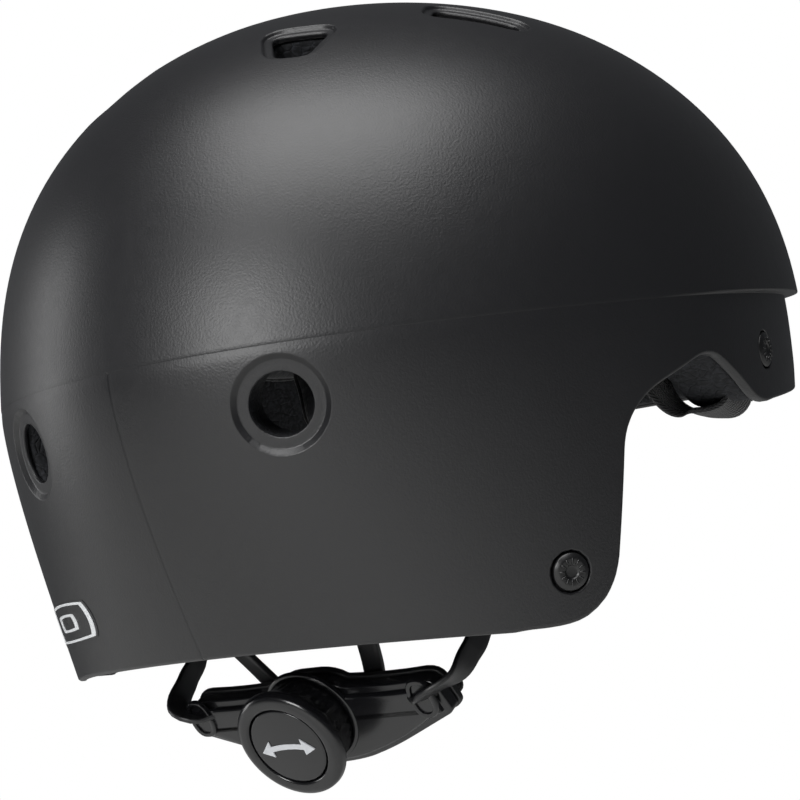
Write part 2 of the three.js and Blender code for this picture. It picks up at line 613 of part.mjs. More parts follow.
const BUCKLE = { y: 6, z: 133 };
function chinWeb(side, end, z) {
  const y = BUCKLE.y;
  const start = pointAt(DIVIDER.turn * side, DIVIDER.z + 12, DIVIDER.inset + 0.2);
  const path = [start, vec(-77 * side, y + 3, 115), vec(-70 * side, y, 123.5), vec(-59 * side, y, z + 1),
    vec(-46 * side, y, z), vec(-end * side, y, z)];
  return band(path, () => vec(0, 1, 0), CHIN_WIDTH, WEB, 16);
}

const atBuckle = new THREE.Matrix4().makeTranslation(0, BUCKLE.y, BUCKLE.z);

function buckleFemale() {
  const body = block(-1, 25, -14, 14, -5, 5);
  const socket = block(-4, 19, -11.4, 11.4, -3, 3);
  const windows = block(6, 13, -20, 20, -2.2, 2.2);
  const bar = block(20.5, 23.4, -10.4, 10.4, -9, 9);
  return placed(cutAll(body, [socket, windows, bar]), atBuckle);
}

function buckleMale() {
  const base = block(-19, -1.4, -13, 13, -4.4, 4.4);
  const guide = block(-1.6, 16, -1.6, 1.6, -2.2, 2.2);
  const prongs = [1, -1].map((s) => block(-1.6, 17, Math.min(8 * s, 10.9 * s), Math.max(8 * s, 10.9 * s), -2, 2));
  const slots = [-16.4, -10.6].map((x) => block(x, x + 3, -10.4, 10.4, -9, 9));
  return placed(cutAll(joinAll([base, guide, ...prongs]), slots), atBuckle);
}

function keeper() {
  const loop = cutAll(block(-47, -41, -11.6, 11.6, -2.6, 2.6), [block(-60, -30, -10, 10, -1.4, 1.4)]);
  return placed(loop, new THREE.Matrix4().makeTranslation(0, BUCKLE.y, BUCKLE.z - 5.5));
}

function badge() {
  const place = { turn: -37, level: 0.2, halfTurn: 13, halfLevel: 0.075 };
  return cushion(place, (level, turn) => brimStep(turn) - 0.75, 0.45, 0.2, 6);
}

// ---- assembly ----------------------------------------------------------------------------
const LOOKS = {
  shell: [BLACK, 0.36], gloss: [SATIN, 0.24], satin: [SATIN, 0.5], foam: [FOAM, 0.92],
  cloth: [CLOTH, 0.95], web: [BLACK, 0.85], mark: [GREY, 0.4], steel: [0xa8abad, 0.35, 1],
};

const helmet = new THREE.Group();
function add(name, look, geometry) {
  const [color, roughness, metalness = 0] = LOOKS[look];
  const mesh = new THREE.Mesh(geometry, new THREE.MeshStandardMaterial({ color, roughness, metalness }));
  mesh.name = name;
  helmet.add(mesh);
}

const SIDES = { right: 1, left: -1 };

add('outer_shell', 'shell', outerShell());
add('foam_liner', 'foam', foamLiner());
add('badge', 'mark', badge());
for (const [name, place] of Object.entries(PADS)) {
  add(name, 'cloth', pad(place));
  add(name.replace('pad', 'hook'), 'cloth', hookPatch(place));
}
add('pad_crown', 'cloth', crownPad(HOOK + 2 * PATCH_GAP, PAD, 1.72));
add('hook_crown', 'cloth', crownPad(PATCH_GAP, HOOK, 1.88));

for (const [word, side] of Object.entries(SIDES)) {
  for (const [place, at] of Object.entries(RIVETS)) {
    add(`rivet_${place}_${word}`, 'satin', rivet(at, side));
    add(`anchor_${place}_${word}`, 'satin', anchorPlate(at, side));
  }
  add(`strap_front_${word}`, 'web', frontLeg(side));
  add(`strap_rear_${word}`, 'web', rearLeg(side));
  add(`divider_${word}`, 'satin', divider(side));
  add(`arm_${word}`, 'satin', cradleArm(side));
  add(`arm_plug_${word}`, 'satin', armPlug(side));
  add(`belt_${word}`, 'satin', belt(side));
  add(`belt_anchor_${word}`, 'satin', beltAnchor(side));
  add(`nape_pad_${word}`, 'cloth', napePad(side));
}
add('chin_web_right', 'web', chinWeb(1, 8, BUCKLE.z - 5.6));
add('chin_web_left', 'web', chinWeb(-1, 25.6, BUCKLE.z));
add('strap_keeper', 'satin', keeper());
add('buckle_female', 'gloss', buckleFemale());
add('buckle_male', 'gloss', buckleMale());

add('cradle_plate', 'satin', placed(extruded(wingOutline(0), PLATE.back, PLATE.top, 4), DIAL));
add('cradle_cover', 'gloss', cradleCover());
add('rack_left', 'satin', rack(-1, -19.7, -18.3));
add('rack_right', 'satin', rack(1, -18, -16.6));
add('pinion', 'satin', pinion());
add('detent_ring', 'satin', toothedRing(7.4, 10.1, -13.5, -11, 32, false));
add('pawl_ring', 'satin', toothedRing(5.2, 7, -12.9, -10.7, 32, true));
add('dial_knob', 'gloss', dialKnob());
add('dial_screw', 'steel', dialScrew());
add('dial_cap', 'gloss', dialCap());

export default helmet;
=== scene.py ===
"""A half-cut water helmet: moulded shell, foam liner, pads, webbing, buckle, nape cradle and fit dial."""
import math

import bmesh
import bpy
import numpy as np
from mathutils import Matrix, Vector
from mathutils.bvhtree import BVHTree


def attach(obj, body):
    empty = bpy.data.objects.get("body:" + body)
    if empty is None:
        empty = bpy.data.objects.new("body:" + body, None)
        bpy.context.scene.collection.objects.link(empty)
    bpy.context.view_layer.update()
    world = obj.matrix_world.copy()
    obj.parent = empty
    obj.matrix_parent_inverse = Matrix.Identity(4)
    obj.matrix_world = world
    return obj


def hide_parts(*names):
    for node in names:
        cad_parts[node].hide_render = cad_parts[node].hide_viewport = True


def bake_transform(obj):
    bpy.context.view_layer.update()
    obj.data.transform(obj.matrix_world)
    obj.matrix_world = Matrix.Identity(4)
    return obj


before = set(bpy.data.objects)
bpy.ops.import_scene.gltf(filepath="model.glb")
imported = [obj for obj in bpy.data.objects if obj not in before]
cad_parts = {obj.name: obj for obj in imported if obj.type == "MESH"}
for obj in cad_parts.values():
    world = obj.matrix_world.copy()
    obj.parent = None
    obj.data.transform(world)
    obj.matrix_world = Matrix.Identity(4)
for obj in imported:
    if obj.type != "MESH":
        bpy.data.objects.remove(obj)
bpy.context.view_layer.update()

bl_info = {
    "name": "Water Helmet",
    "version": (1, 0, 0),
    "blender": (4, 5, 0),
    "location": "View3D > Sidebar > Helmet",
    "description": "Builds a half-cut water helmet on its packed CAD frame",
    "category": "Add Mesh",
}

MM = 0.001
SIDES = {"right": 1, "left": -1}       # the wearer's right is toward -X


def linear(code):
    """A colour written as sRGB hex, as linear RGBA."""
    parts = [int(code[i:i + 2], 16) / 255 for i in (1, 3, 5)]
    return tuple(c / 12.92 if c <= 0.04045 else ((c + 0.055) / 1.055) ** 2.4 for c in parts) + (1.0,)


# ---- settings ----------------------------------------------------------------------------
def length(name, description, default):
    return bpy.props.FloatProperty(name=name, description=description, default=default, min=0.0,
                                   unit="LENGTH", subtype="DISTANCE", precision=5)


def colour(name, description, code):
    return bpy.props.FloatVectorProperty(name=name, description=description, default=linear(code), size=4,
                                         min=0.0, max=1.0, subtype="COLOR")


class HelmetShellSettings(bpy.types.PropertyGroup):
    edge: length("Edge radius", "Rounding of the shell's cut edges", 0.0009)
    seam: length("Rear seam width", "Width of the parting groove at the back", 0.0008)
    seam_depth: length("Rear seam depth", "Depth of the parting groove", 0.00028)
    lip: length("Brim lip", "Height over which the dome steps out over the band", 0.0005)
    tint: colour("Shell colour", "Colour of the moulded shell", "#111113")
    foam_tint: colour("Foam colour", "Colour of the foam liner", "#1d1e21")


class HelmetSoftSettings(bpy.types.PropertyGroup):
    voxel: length("Cloth cell", "Cell size of the mesh that the pads are swollen on", 0.004)
    swell: length("Swell", "Farthest that a point of a pad moves while it fills", 0.0035)
    stitch: length("Stitch pitch", "Distance from stitch to stitch on the webbing", 0.0032)
    thread: length("Thread", "Diameter of the sewing thread", 0.0006)
    cloth_tint: colour("Pad colour", "Colour of the knitted pad covers", "#1b1c1f")
    web_tint: colour("Webbing colour", "Colour of the woven straps", "#121214")


class HelmetDialSettings(bpy.types.PropertyGroup):
    grips: bpy.props.IntProperty(name="Dial grips", description="Number of grip flutes round the dial",
                                 default=30, min=12, max=60)
    ribs: bpy.props.IntProperty(name="Rivet ribs", description="Number of ribs on each rivet head",
                                default=12, min=6, max=24)
    tint: colour("Cradle colour", "Colour of the cradle mouldings", "#0f0f11")
    mark_tint: colour("Arrow colour", "Colour of the printed arrows", "#c9cbcf")


class HelmetStageSettings(bpy.types.PropertyGroup):
    floor: length("Floor drop", "How far the floor lies under the rear rim", 0.34)
    lens: bpy.props.FloatProperty(name="Lens", description="Focal length on a 36 mm sensor", default=96.39,
                                  min=20.0, unit="CAMERA")
    floor_tint: colour("Floor colour", "Colour of the paper floor", "#f4f4f2")


# ---- materials ---------------------------------------------------------------------------
def add(tree, kind, inputs=None, **settings):
    """Adds a node, sets its settings, and sets or links its inputs."""
    made = tree.nodes.new(kind)
    for key, value in settings.items():
        setattr(made, key, value)
    for key, value in (inputs or {}).items():
        if isinstance(value, bpy.types.NodeSocket):
            tree.links.new(value, made.inputs[key])
        else:
            made.inputs[key].default_value = value
    return made


def start_material(name):
    material = bpy.data.materials.new(name)
    material.use_nodes = True
    material.node_tree.nodes.clear()
    return material, material.node_tree


def finish_material(material, shader):
    tree = material.node_tree
    add(tree, "ShaderNodeOutputMaterial", {"Surface": shader.outputs[0]})
    return material


def per_mm(size):
    """Noise or Voronoi scale whose cells are about this many millimetres."""
    return 1000.0 / size


def ramp(tree, factor, low, high, from_value=0.0, to_value=1.0):
    return add(tree, "ShaderNodeMapRange", {"Value": factor, "From Min": from_value, "From Max": to_value,
                                            "To Min": low, "To Max": high}).outputs["Result"]


def moulded_abs(name, tint, roughness, grain=0.9, depth=0.02, specular=0.5):
    """Injection-moulded ABS: an even body colour under a slightly uneven satin skin, with handling
    haze that breaks up the gloss and a faint orange peel from the tool."""
    material, tree = start_material(name)
    place = add(tree, "ShaderNodeTexCoord").outputs["Object"]
    peel = add(tree, "ShaderNodeTexNoise", {"Vector": place, "Scale": per_mm(grain), "Detail": 3.0})
    haze = add(tree, "ShaderNodeTexNoise", {"Vector": place, "Scale": per_mm(38), "Detail": 5.0, "Roughness": 0.6})
    wiped = add(tree, "ShaderNodeTexNoise", {"Vector": place, "Scale": per_mm(3.1), "Detail": 4.0})
    mixed = add(tree, "ShaderNodeMath", {0: haze.outputs["Fac"], 1: wiped.outputs["Fac"]}, operation="MULTIPLY")
    rough = ramp(tree, mixed.outputs[0], roughness - 0.015, roughness + 0.02, 0.1, 0.42)
    bump = add(tree, "ShaderNodeBump", {"Strength": depth, "Distance": 0.0004, "Height": peel.outputs["Fac"]})
    shade = add(tree, "ShaderNodeMix", {"Factor": haze.outputs["Fac"], "A": tint,
                                        "B": tuple(min(1.0, c * 1.25) for c in tint[:3]) + (1.0,)},
                data_type="RGBA")
    shader = add(tree, "ShaderNodeBsdfPrincipled", {
        "Base Color": shade.outputs["Result"], "Roughness": rough, "Normal": bump.outputs["Normal"],
        "IOR": 1.53, "Specular IOR Level": specular})
    return finish_material(material, shader)


def bead_foam(name, tint):
    """Expanded polystyrene: fused beads of about 3 mm that show as a pebbled skin with pale and
    dark specks and no gloss."""
    material, tree = start_material(name)
    place = add(tree, "ShaderNodeTexCoord").outputs["Object"]
    beads = add(tree, "ShaderNodeTexVoronoi", {"Vector": place, "Scale": per_mm(2.8)}, feature="F1")
    edges = add(tree, "ShaderNodeTexVoronoi", {"Vector": place, "Scale": per_mm(2.8)}, feature="DISTANCE_TO_EDGE")
    specks = add(tree, "ShaderNodeTexNoise", {"Vector": place, "Scale": per_mm(1.1), "Detail": 2.0})
    groove = ramp(tree, edges.outputs["Distance"], 0.0, 1.0, 0.0, 0.12)
    pale = ramp(tree, specks.outputs["Fac"], 0.0, 1.0, 0.42, 0.66)
    tone = add(tree, "ShaderNodeMix", {"Factor": pale, "A": tuple(c * 0.45 for c in tint[:3]) + (1.0,),
                                       "B": tuple(min(1.0, c * 2.1) for c in tint[:3]) + (1.0,)}, data_type="RGBA")
    cell = add(tree, "ShaderNodeMix", {"Factor": ramp(tree, beads.outputs["Color"], 0.0, 0.5),
                                       "A": tone.outputs["Result"], "B": tint}, data_type="RGBA")
    bump = add(tree, "ShaderNodeBump", {"Strength": 0.55, "Distance": 0.0005, "Height": groove})
    shader = add(tree, "ShaderNodeBsdfPrincipled", {
        "Base Color": cell.outputs["Result"], "Roughness": 0.86, "Normal": bump.outputs["Normal"], "IOR": 1.4})
    return finish_material(material, shader)


def knitted_cloth(name, tint):
    """Brushed polyester knit over foam: 1.2 mm wales with a soft pile that lifts the edges."""
    material, tree = start_material(name)
    place = add(tree, "ShaderNodeTexCoord").outputs["Object"]
    wales = add(tree, "ShaderNodeTexWave", {"Vector": place, "Scale": per_mm(1.2) / 6.28, "Distortion": 1.2,
                                            "Detail": 1.0, "Detail Scale": 2.0},
                wave_type="BANDS", bands_direction="Z")
    courses = add(tree, "ShaderNodeTexWave", {"Vector": place, "Scale": per_mm(1.0) / 6.28, "Distortion": 1.6},
                  wave_type="BANDS", bands_direction="DIAGONAL")
    fuzz = add(tree, "ShaderNodeTexNoise", {"Vector": place, "Scale": per_mm(0.7), "Detail": 4.0})
    loops = add(tree, "ShaderNodeMath", {0: wales.outputs["Fac"], 1: courses.outputs["Fac"]}, operation="MULTIPLY")
    height = add(tree, "ShaderNodeMath", {0: loops.outputs[0], 1: fuzz.outputs["Fac"]}, operation="ADD")
    bump = add(tree, "ShaderNodeBump", {"Strength": 0.5, "Distance": 0.0004, "Height": height.outputs[0]})
    # Painted shade and painted highlight: the knit's colour is darkened in the hollows between its loops and lightened
    # on their raised tops, following the bump height.
    tone = add(tree, "ShaderNodeMix", {"Factor": ramp(tree, height.outputs[0], 0.0, 1.0, 0.3, 1.3),
                                       "A": tuple(c * 0.55 for c in tint[:3]) + (1.0,),
                                       "B": tuple(min(1.0, c * 1.5) for c in tint[:3]) + (1.0,)}, data_type="RGBA")
    shader = add(tree, "ShaderNodeBsdfPrincipled", {
        "Base Color": tone.outputs["Result"], "Roughness": 0.92, "Normal": bump.outputs["Normal"],
        "Sheen Weight": 0.35, "Sheen Roughness": 0.5})
    return finish_material(material, shader)


def woven_webbing(name, tint):
    """Woven nylon webbing: 1.4 mm warp ribs crossed by a finer weft in a shallow herringbone, with
    the dull sheen of filament yarn. The pattern follows the strap's own UV map, in millimetres."""
    material, tree = start_material(name)
    place = add(tree, "ShaderNodeUVMap", uv_map="weave").outputs["UV"]
    parts = add(tree, "ShaderNodeSeparateXYZ", {"Vector": place})
    fold = add(tree, "ShaderNodeMath", {0: parts.outputs["X"], 1: 2.8}, operation="PINGPONG")
    slant = add(tree, "ShaderNodeMath", {0: parts.outputs["Y"], 1: fold.outputs[0]}, operation="ADD")
    weft = add(tree, "ShaderNodeMath", {0: slant.outputs[0], 1: 6.283 / 1.1}, operation="MULTIPLY")
    weft = add(tree, "ShaderNodeMath", {0: weft.outputs[0]}, operation="SINE")
    warp = add(tree, "ShaderNodeMath", {0: parts.outputs["X"], 1: 6.283 / 1.4}, operation="MULTIPLY")
    warp = add(tree, "ShaderNodeMath", {0: warp.outputs[0]}, operation="SINE")
    height = add(tree, "ShaderNodeMath", {0: weft.outputs[0], 1: warp.outputs[0]}, operation="ADD")
    bump = add(tree, "ShaderNodeBump", {"Strength": 0.6, "Distance": 0.00025, "Height": height.outputs[0]})
    # Painted shade and painted highlight: the webbing's colour is darkened where the weave sinks and lightened on its
    # raised ribs, following the bump height.
    tone = add(tree, "ShaderNodeMix", {"Factor": ramp(tree, height.outputs[0], 0.0, 1.0, -2.0, 2.0),
                                       "A": tuple(c * 0.6 for c in tint[:3]) + (1.0,),
                                       "B": tuple(min(1.0, c * 1.9) for c in tint[:3]) + (1.0,)}, data_type="RGBA")
    shader = add(tree, "ShaderNodeBsdfPrincipled", {
        "Base Color": tone.outputs["Result"], "Roughness": 0.68, "Normal": bump.outputs["Normal"],
        "Sheen Weight": 0.2, "Sheen Roughness": 0.4})
    return finish_material(material, shader)


def turned_steel(name):
    """Stainless screw, turned: bright, with fine rings left by the tool."""
    material, tree = start_material(name)
    place = add(tree, "ShaderNodeTexCoord").outputs["Object"]
    rings = add(tree, "ShaderNodeTexNoise", {"Vector": place, "Scale": per_mm(0.4), "Detail": 2.0})
    rough = ramp(tree, rings.outputs["Fac"], 0.24, 0.4)
    shader = add(tree, "ShaderNodeBsdfPrincipled", {
        "Base Color": linear("#a9a9ac"), "Metallic": 1.0, "Roughness": rough})
    return finish_material(material, shader)


def printed_film(name, tint):
    """Printed polyester film: an even ink layer with a slight texture and a satin top coat."""
    material, tree = start_material(name)
    place = add(tree, "ShaderNodeTexCoord").outputs["Object"]
    ink = add(tree, "ShaderNodeTexNoise", {"Vector": place, "Scale": per_mm(0.8), "Detail": 3.0})
    tone = add(tree, "ShaderNodeMix", {"Factor": ink.outputs["Fac"], "A": tuple(c * 0.88 for c in tint[:3]) + (1.0,),
                                       "B": tint}, data_type="RGBA")
    shader = add(tree, "ShaderNodeBsdfPrincipled", {
        "Base Color": tone.outputs["Result"], "Roughness": ramp(tree, ink.outputs["Fac"], 0.34, 0.46), "IOR": 1.5})
    return finish_material(material, shader)


def hook_tape(name):
    """Moulded hook tape: a dull mat of tiny hooks about 0.9 mm apart."""
    material, tree = start_material(name)
    place = add(tree, "ShaderNodeTexCoord").outputs["Object"]
    hooks = add(tree, "ShaderNodeTexVoronoi", {"Vector": place, "Scale": per_mm(0.9), "Randomness": 0.35})
    tips = ramp(tree, hooks.outputs["Distance"], 1.0, 0.0, 0.0, 0.6)
    bump = add(tree, "ShaderNodeBump", {"Strength": 0.8, "Distance": 0.0005, "Height": tips})
    # Painted highlight and painted shade: the hook tips are coloured lighter and the mat between them darker,
    # following the same height as the bump.
    tone = add(tree, "ShaderNodeMix", {"Factor": tips, "A": linear("#0a0a0b"), "B": linear("#26272a")},
               data_type="RGBA")
    shader = add(tree, "ShaderNodeBsdfPrincipled", {
        "Base Color": tone.outputs["Result"], "Roughness": 0.7, "Normal": bump.outputs["Normal"]})
    return finish_material(material, shader)


MATERIALS = {}


def material(key):
    """Each material is made once, the first time that a piece asks for it."""
    if key not in MATERIALS:
        scene = bpy.context.scene
        shell, soft, dial = scene.helmet_shell, scene.helmet_soft, scene.helmet_dial
        makers = {
            "shell": lambda: moulded_abs("moulded satin ABS, shell", tuple(shell.tint), 0.4, 0.6, 0.16),
            "foam": lambda: bead_foam("expanded polystyrene, liner", tuple(shell.foam_tint)),
            "cloth": lambda: knitted_cloth("brushed polyester knit, pads", tuple(soft.cloth_tint)),
            "piping": lambda: knitted_cloth("polyester binding, pads", linear("#101012")),
            "web": lambda: woven_webbing("woven nylon webbing", tuple(soft.web_tint)),
            "thread": lambda: knitted_cloth("bonded nylon thread", linear("#2b2c2f")),
            "hooks": lambda: hook_tape("moulded hook tape"),
            "gloss": lambda: moulded_abs("moulded acetal, gloss", tuple(dial.tint), 0.22, 0.9, 0.02),
            "satin": lambda: moulded_abs("moulded nylon, satin", tuple(dial.tint), 0.42, 0.5, 0.06),
            "rivet": lambda: moulded_abs("moulded nylon, rivet", linear("#0c0c0d"), 0.34, 0.5, 0.03),
            "steel": lambda: turned_steel("turned stainless steel"),
            "mark": lambda: printed_film("printed film, silver grey", tuple(dial.mark_tint)),
            "label": lambda: printed_film("printed film, white", linear("#dfe1e3")),
        }
        MATERIALS[key] = makers[key]()
    return MATERIALS[key]


# ---- mesh helpers ------------------------------------------------------------------------
def unit(v):
    v = np.asarray(v, float)
    return v / np.maximum(np.linalg.norm(v, axis=-1, keepdims=True), 1e-12)


def smooth(x, low, high):
    t = np.clip((x - low) / (high - low), 0.0, 1.0)
    return t * t * (3 - 2 * t)


def put(name, points, faces, key, normals=None, uvs=None, crease=None):
    """Makes an object from millimetre points. Faces sharper than `crease` degrees keep hard edges."""
    mesh = bpy.data.meshes.new(name)
    mesh.from_pydata((np.asarray(points) * MM).tolist(), [], [list(map(int, f)) for f in faces])
    mesh.materials.append(material(key))
    if uvs is not None:
        layer = mesh.uv_layers.new(name="weave")
        flat = [c for face in faces for index in face for c in uvs[index]]
        layer.data.foreach_set("uv", flat)
    obj = bpy.data.objects.new(name, mesh)
    bpy.context.scene.collection.objects.link(obj)
    mesh.polygons.foreach_set("use_smooth", [True] * len(mesh.polygons))
    if normals is not None:
        mesh.normals_split_custom_set_from_vertices(unit(normals).tolist())
    elif crease is not None:
        sharpen(obj, crease)
    mesh.update()
    return obj


def sharpen(obj, degrees):
    work = bmesh.new()
    work.from_mesh(obj.data)
    bmesh.ops.recalc_face_normals(work, faces=work.faces[:])
    for edge in work.edges:
        edge.smooth = edge.calc_face_angle(0.0) < math.radians(degrees)
    for face in work.faces:
        face.smooth = True
    work.to_mesh(obj.data)
    work.free()


def bake(obj):
    """Turns what the modifiers make of an object into its own plain mesh."""
    held = obj.data
    graph = bpy.context.evaluated_depsgraph_get()
    mesh = bpy.data.meshes.new_from_object(obj.evaluated_get(graph), preserve_all_data_layers=True, depsgraph=graph)
    obj.modifiers.clear()
    obj.data = mesh
    bpy.data.meshes.remove(held)
    mesh.name = obj.name
    return obj


def join(name, objects):
    """Joins several finished meshes into one object, keeping each one's material."""
    target = objects[0]
    with bpy.context.temp_override(active_object=target, selected_editable_objects=objects):
        bpy.ops.object.join()
    target.name = target.data.name = name
    return target


def settle(obj, body, slot, *nodes):
    """Attaches a finished piece to its body and hides the CAD nodes that it stands for. Its finish slot is not used.
    """
    if body:
        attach(obj, body)
    if nodes:
        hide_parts(*nodes)
    return obj


def from_cad(node, name, key, bevel=0.35, segments=2, crease=32):
    """A copy of a CAD node with merged corners, rounded edges and its flat facets joined."""
    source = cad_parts[node]
    mesh = source.data.copy()
    mesh.materials.clear()
    mesh.materials.append(material(key))
    obj = bpy.data.objects.new(name, mesh)
    bpy.context.scene.collection.objects.link(obj)
    work = bmesh.new()
    work.from_mesh(mesh)
    bmesh.ops.remove_doubles(work, verts=work.verts[:], dist=2e-6)
    bmesh.ops.dissolve_limit(work, angle_limit=math.radians(1.5), verts=work.verts[:], edges=work.edges[:])
    bmesh.ops.recalc_face_normals(work, faces=work.faces[:])
    for face in work.faces:
        face.smooth = True
        face.material_index = 0
    work.to_mesh(mesh)
    work.free()
    mesh.name = name
    if bevel:
        edge = obj.modifiers.new("Edge", "BEVEL")
        edge.width = bevel * MM
        edge.segments = segments
        edge.limit_method = "ANGLE"
        edge.angle_limit = math.radians(28)
        edge.use_clamp_overlap = True
        bake(obj)
    sharpen(obj, crease)
    return obj


def turned(profile, sides, matrix, close=True):
    """Points and faces of a body turned about local Z from a [radius, height] profile."""
    points, faces, rows = [], [], []
    for r, h in profile:
        if r < 1e-6:
            rows.append([len(points)])
            points.append((0.0, 0.0, h))
        else:
            rows.append(list(range(len(points), len(points) + sides)))
            for k in range(sides):
                a = 2 * math.pi * k / sides
                points.append((r * math.cos(a), r * math.sin(a), h))
    pairs = list(zip(rows, rows[1:]))
    if close and len(rows[0]) > 1:
        pairs.append((rows[-1], rows[0]))
    for low, high in pairs:
        for k in range(sides):
            m = (k + 1) % sides
            a, b = (low[k], low[m]) if len(low) > 1 else (low[0], low[0])
            c, d = (high[m], high[k]) if len(high) > 1 else (high[0], high[0])
            face = [a, b, c, d]
            kept = [v for i, v in enumerate(face) if v != face[i - 1]]
            if len(kept) > 2:
                faces.append(kept)
    return place_points(points, matrix), faces


def place_points(points, matrix):
    points = np.asarray(points, float)
    return points @ matrix[:3, :3].T + matrix[:3, 3]


def rounded(profile, radius, steps=4):
    """A profile whose inner corners are rounded by short curves."""
    profile = [np.array(p, float) for p in profile]
    out = [profile[0]]
    for before, here, after in zip(profile, profile[1:], profile[2:]):
        r = min(radius, 0.45 * np.linalg.norm(before - here), 0.45 * np.linalg.norm(after - here))
        a, b = here + unit(before - here) * r, here + unit(after - here) * r
        for t in np.linspace(0, 1, steps + 1):
            out.append((1 - t) ** 2 * a + 2 * t * (1 - t) * here + t * t * b)
    out.append(profile[-1])
    return out


def curve_points(path, count):
    """Evenly spaced points and directions on a centripetal spline through a path."""
    p = [np.asarray(v, float) for v in path]
    p = [2 * p[0] - p[1]] + p + [2 * p[-1] - p[-2]]
    dense = []
    for a, b, c, d in zip(p, p[1:], p[2:], p[3:]):
        t0, t1, t2 = (max(np.linalg.norm(v - u) ** 0.5, 1e-6) for u, v in ((a, b), (b, c), (c, d)))
        m1 = ((b - a) / t0 - (c - a) / (t0 + t1) + (c - b) / t1) * t1
        m2 = ((c - b) / t1 - (d - b) / (t1 + t2) + (d - c) / t2) * t1
        for t in np.linspace(0, 1, 24, endpoint=False):
            dense.append((2 * t ** 3 - 3 * t ** 2 + 1) * b + (t ** 3 - 2 * t ** 2 + t) * m1
                         + (-2 * t ** 3 + 3 * t ** 2) * c + (t ** 3 - t ** 2) * m2)
    dense.append(p[-2])
    dense = np.array(dense)
    run = np.concatenate([[0], np.cumsum(np.linalg.norm(np.diff(dense, axis=0), axis=1))])
    even = np.linspace(0, run[-1], count)
    points = np.stack([np.interp(even, run, dense[:, k]) for k in range(3)], -1)
    return points, unit(np.gradient(points, axis=0)), even


def strap(path, across, width, thickness, count, edge=0.45):
    """A flat band with rounded edges along a path, and its UV map in millimetres."""
    centres, along, run = curve_points(path, count)
    half, r = width / 2, min(edge * thickness, thickness / 2)
    section = []
    for cx, cy, a0 in ((1, 1, 0), (-1, 1, 90), (-1, -1, 180), (1, -1, 270)):
        for a in (0, 30, 60, 90):
            t = math.radians(a0 + a)
            section.append((cx * (half - r) + r * math.cos(t), cy * (thickness / 2 - r) + r * math.sin(t)))
        if a0 in (0, 180):
            for s in (0.5, 0.0, -0.5):
                section.append((cx * s * (half - r), cy * thickness / 2))
    section = np.array(section)
    girth = np.concatenate([[0], np.cumsum(np.linalg.norm(np.diff(section, axis=0), axis=1))])
    points, uvs, faces, n = [], [], [], len(section)
    for k, (c, t) in enumerate(zip(centres, along)):
        side = np.asarray(across(k / (count - 1)), float)
        side = unit(side - t * (side @ t))
        face = np.cross(t, side)
        points.extend(c + side * u + face * v for u, v in section)
        uvs.extend((g, run[k]) for g in girth)
    for k in range(count - 1):
        for i in range(n):
            j = (i + 1) % n
            faces.append((k * n + i, (k + 1) * n + i, (k + 1) * n + j, k * n + j)[::-1])
    last = (count - 1) * n
    faces.append(tuple(range(n))[::-1])
    faces.append(tuple(last + i for i in range(n)))
    return np.array(points), faces, uvs


# ---- the dome surface --------------------------------------------------------------------
# `turn` is the azimuth: 0 at the rear, a quarter turn at the wearer's right. `level` is 0 in the
# plane of the rear rim, 1 at the brim crease and 2 at the crown. Millimetres.
HALF_WIDTH, REAR_REACH, FRONT_REACH, CROWN, PLAN_POWER = 112.0, 126.0, 144.6, 188.2, 1.9
WALL, GAP = 3.0, 0.3


def traits(turn):
    c = np.cos(turn)
    rear = np.where(c > 0, c * c, 0.0)
    return (np.where(c > 0, REAR_REACH, FRONT_REACH), 77.2 - 7.9 * rear, 2.64 - 0.16 * rear, 0.077 + 0.153 * rear)


def dome_point(turn, rise, inset=0.0):
    turn, rise = np.asarray(turn, float), np.asarray(rise, float)
    reach, widest, dome, tuck = traits(turn)
    c, s, power = np.cos(turn), np.sin(turn), 2 / PLAN_POWER
    up, down = np.maximum(rise, 0), np.maximum(-rise, 0)
    g = np.cos(up) - tuck * down ** 1.36
    z = np.where(up > 0, widest + (CROWN - inset - widest) * np.sin(up) ** (2 / dome), widest * (1 - down))
    return np.stack([-(HALF_WIDTH - inset) * np.sign(s) * np.abs(s) ** power * g,
                     (reach - inset) * np.sign(c) * np.abs(c) ** power * g, z + 0 * g], -1)


def rise_at(turn, z, inset=0.0):
    _, widest, dome, _ = traits(turn)
    high = np.clip((z - widest) / (CROWN - inset - widest), 0, 1)
    return np.where(z <= widest, (z - widest) / widest, np.arcsin(np.clip(high ** (dome / 2), 0, 1)))


def crease_height(turn, inset=0.0):
    z = 86.7 + 0 * np.asarray(turn, float)
    for _ in range(4):
        y = dome_point(turn, rise_at(turn, z, inset), inset)[..., 1]
        z = 86.7 - 0.147 * y + 0.0002 * y * y
    return z


def level_point(turn, level, inset=0.0):
    crease = crease_height(turn, inset)
    start = rise_at(turn, crease, inset)
    rise = np.where(level <= 1, rise_at(turn, np.minimum(level, 1) * crease, inset),
                    start + (level - 1) * (math.pi / 2 - start))
    return dome_point(turn, rise, inset)


def brim_step(turn):
    return 0.15 + 4.85 * smooth(-np.cos(turn), -0.35, 0.8)


def point_at(degrees, z, inset=0.0):
    turn = math.radians(degrees)
    return dome_point(turn, rise_at(turn, z, inset), inset)


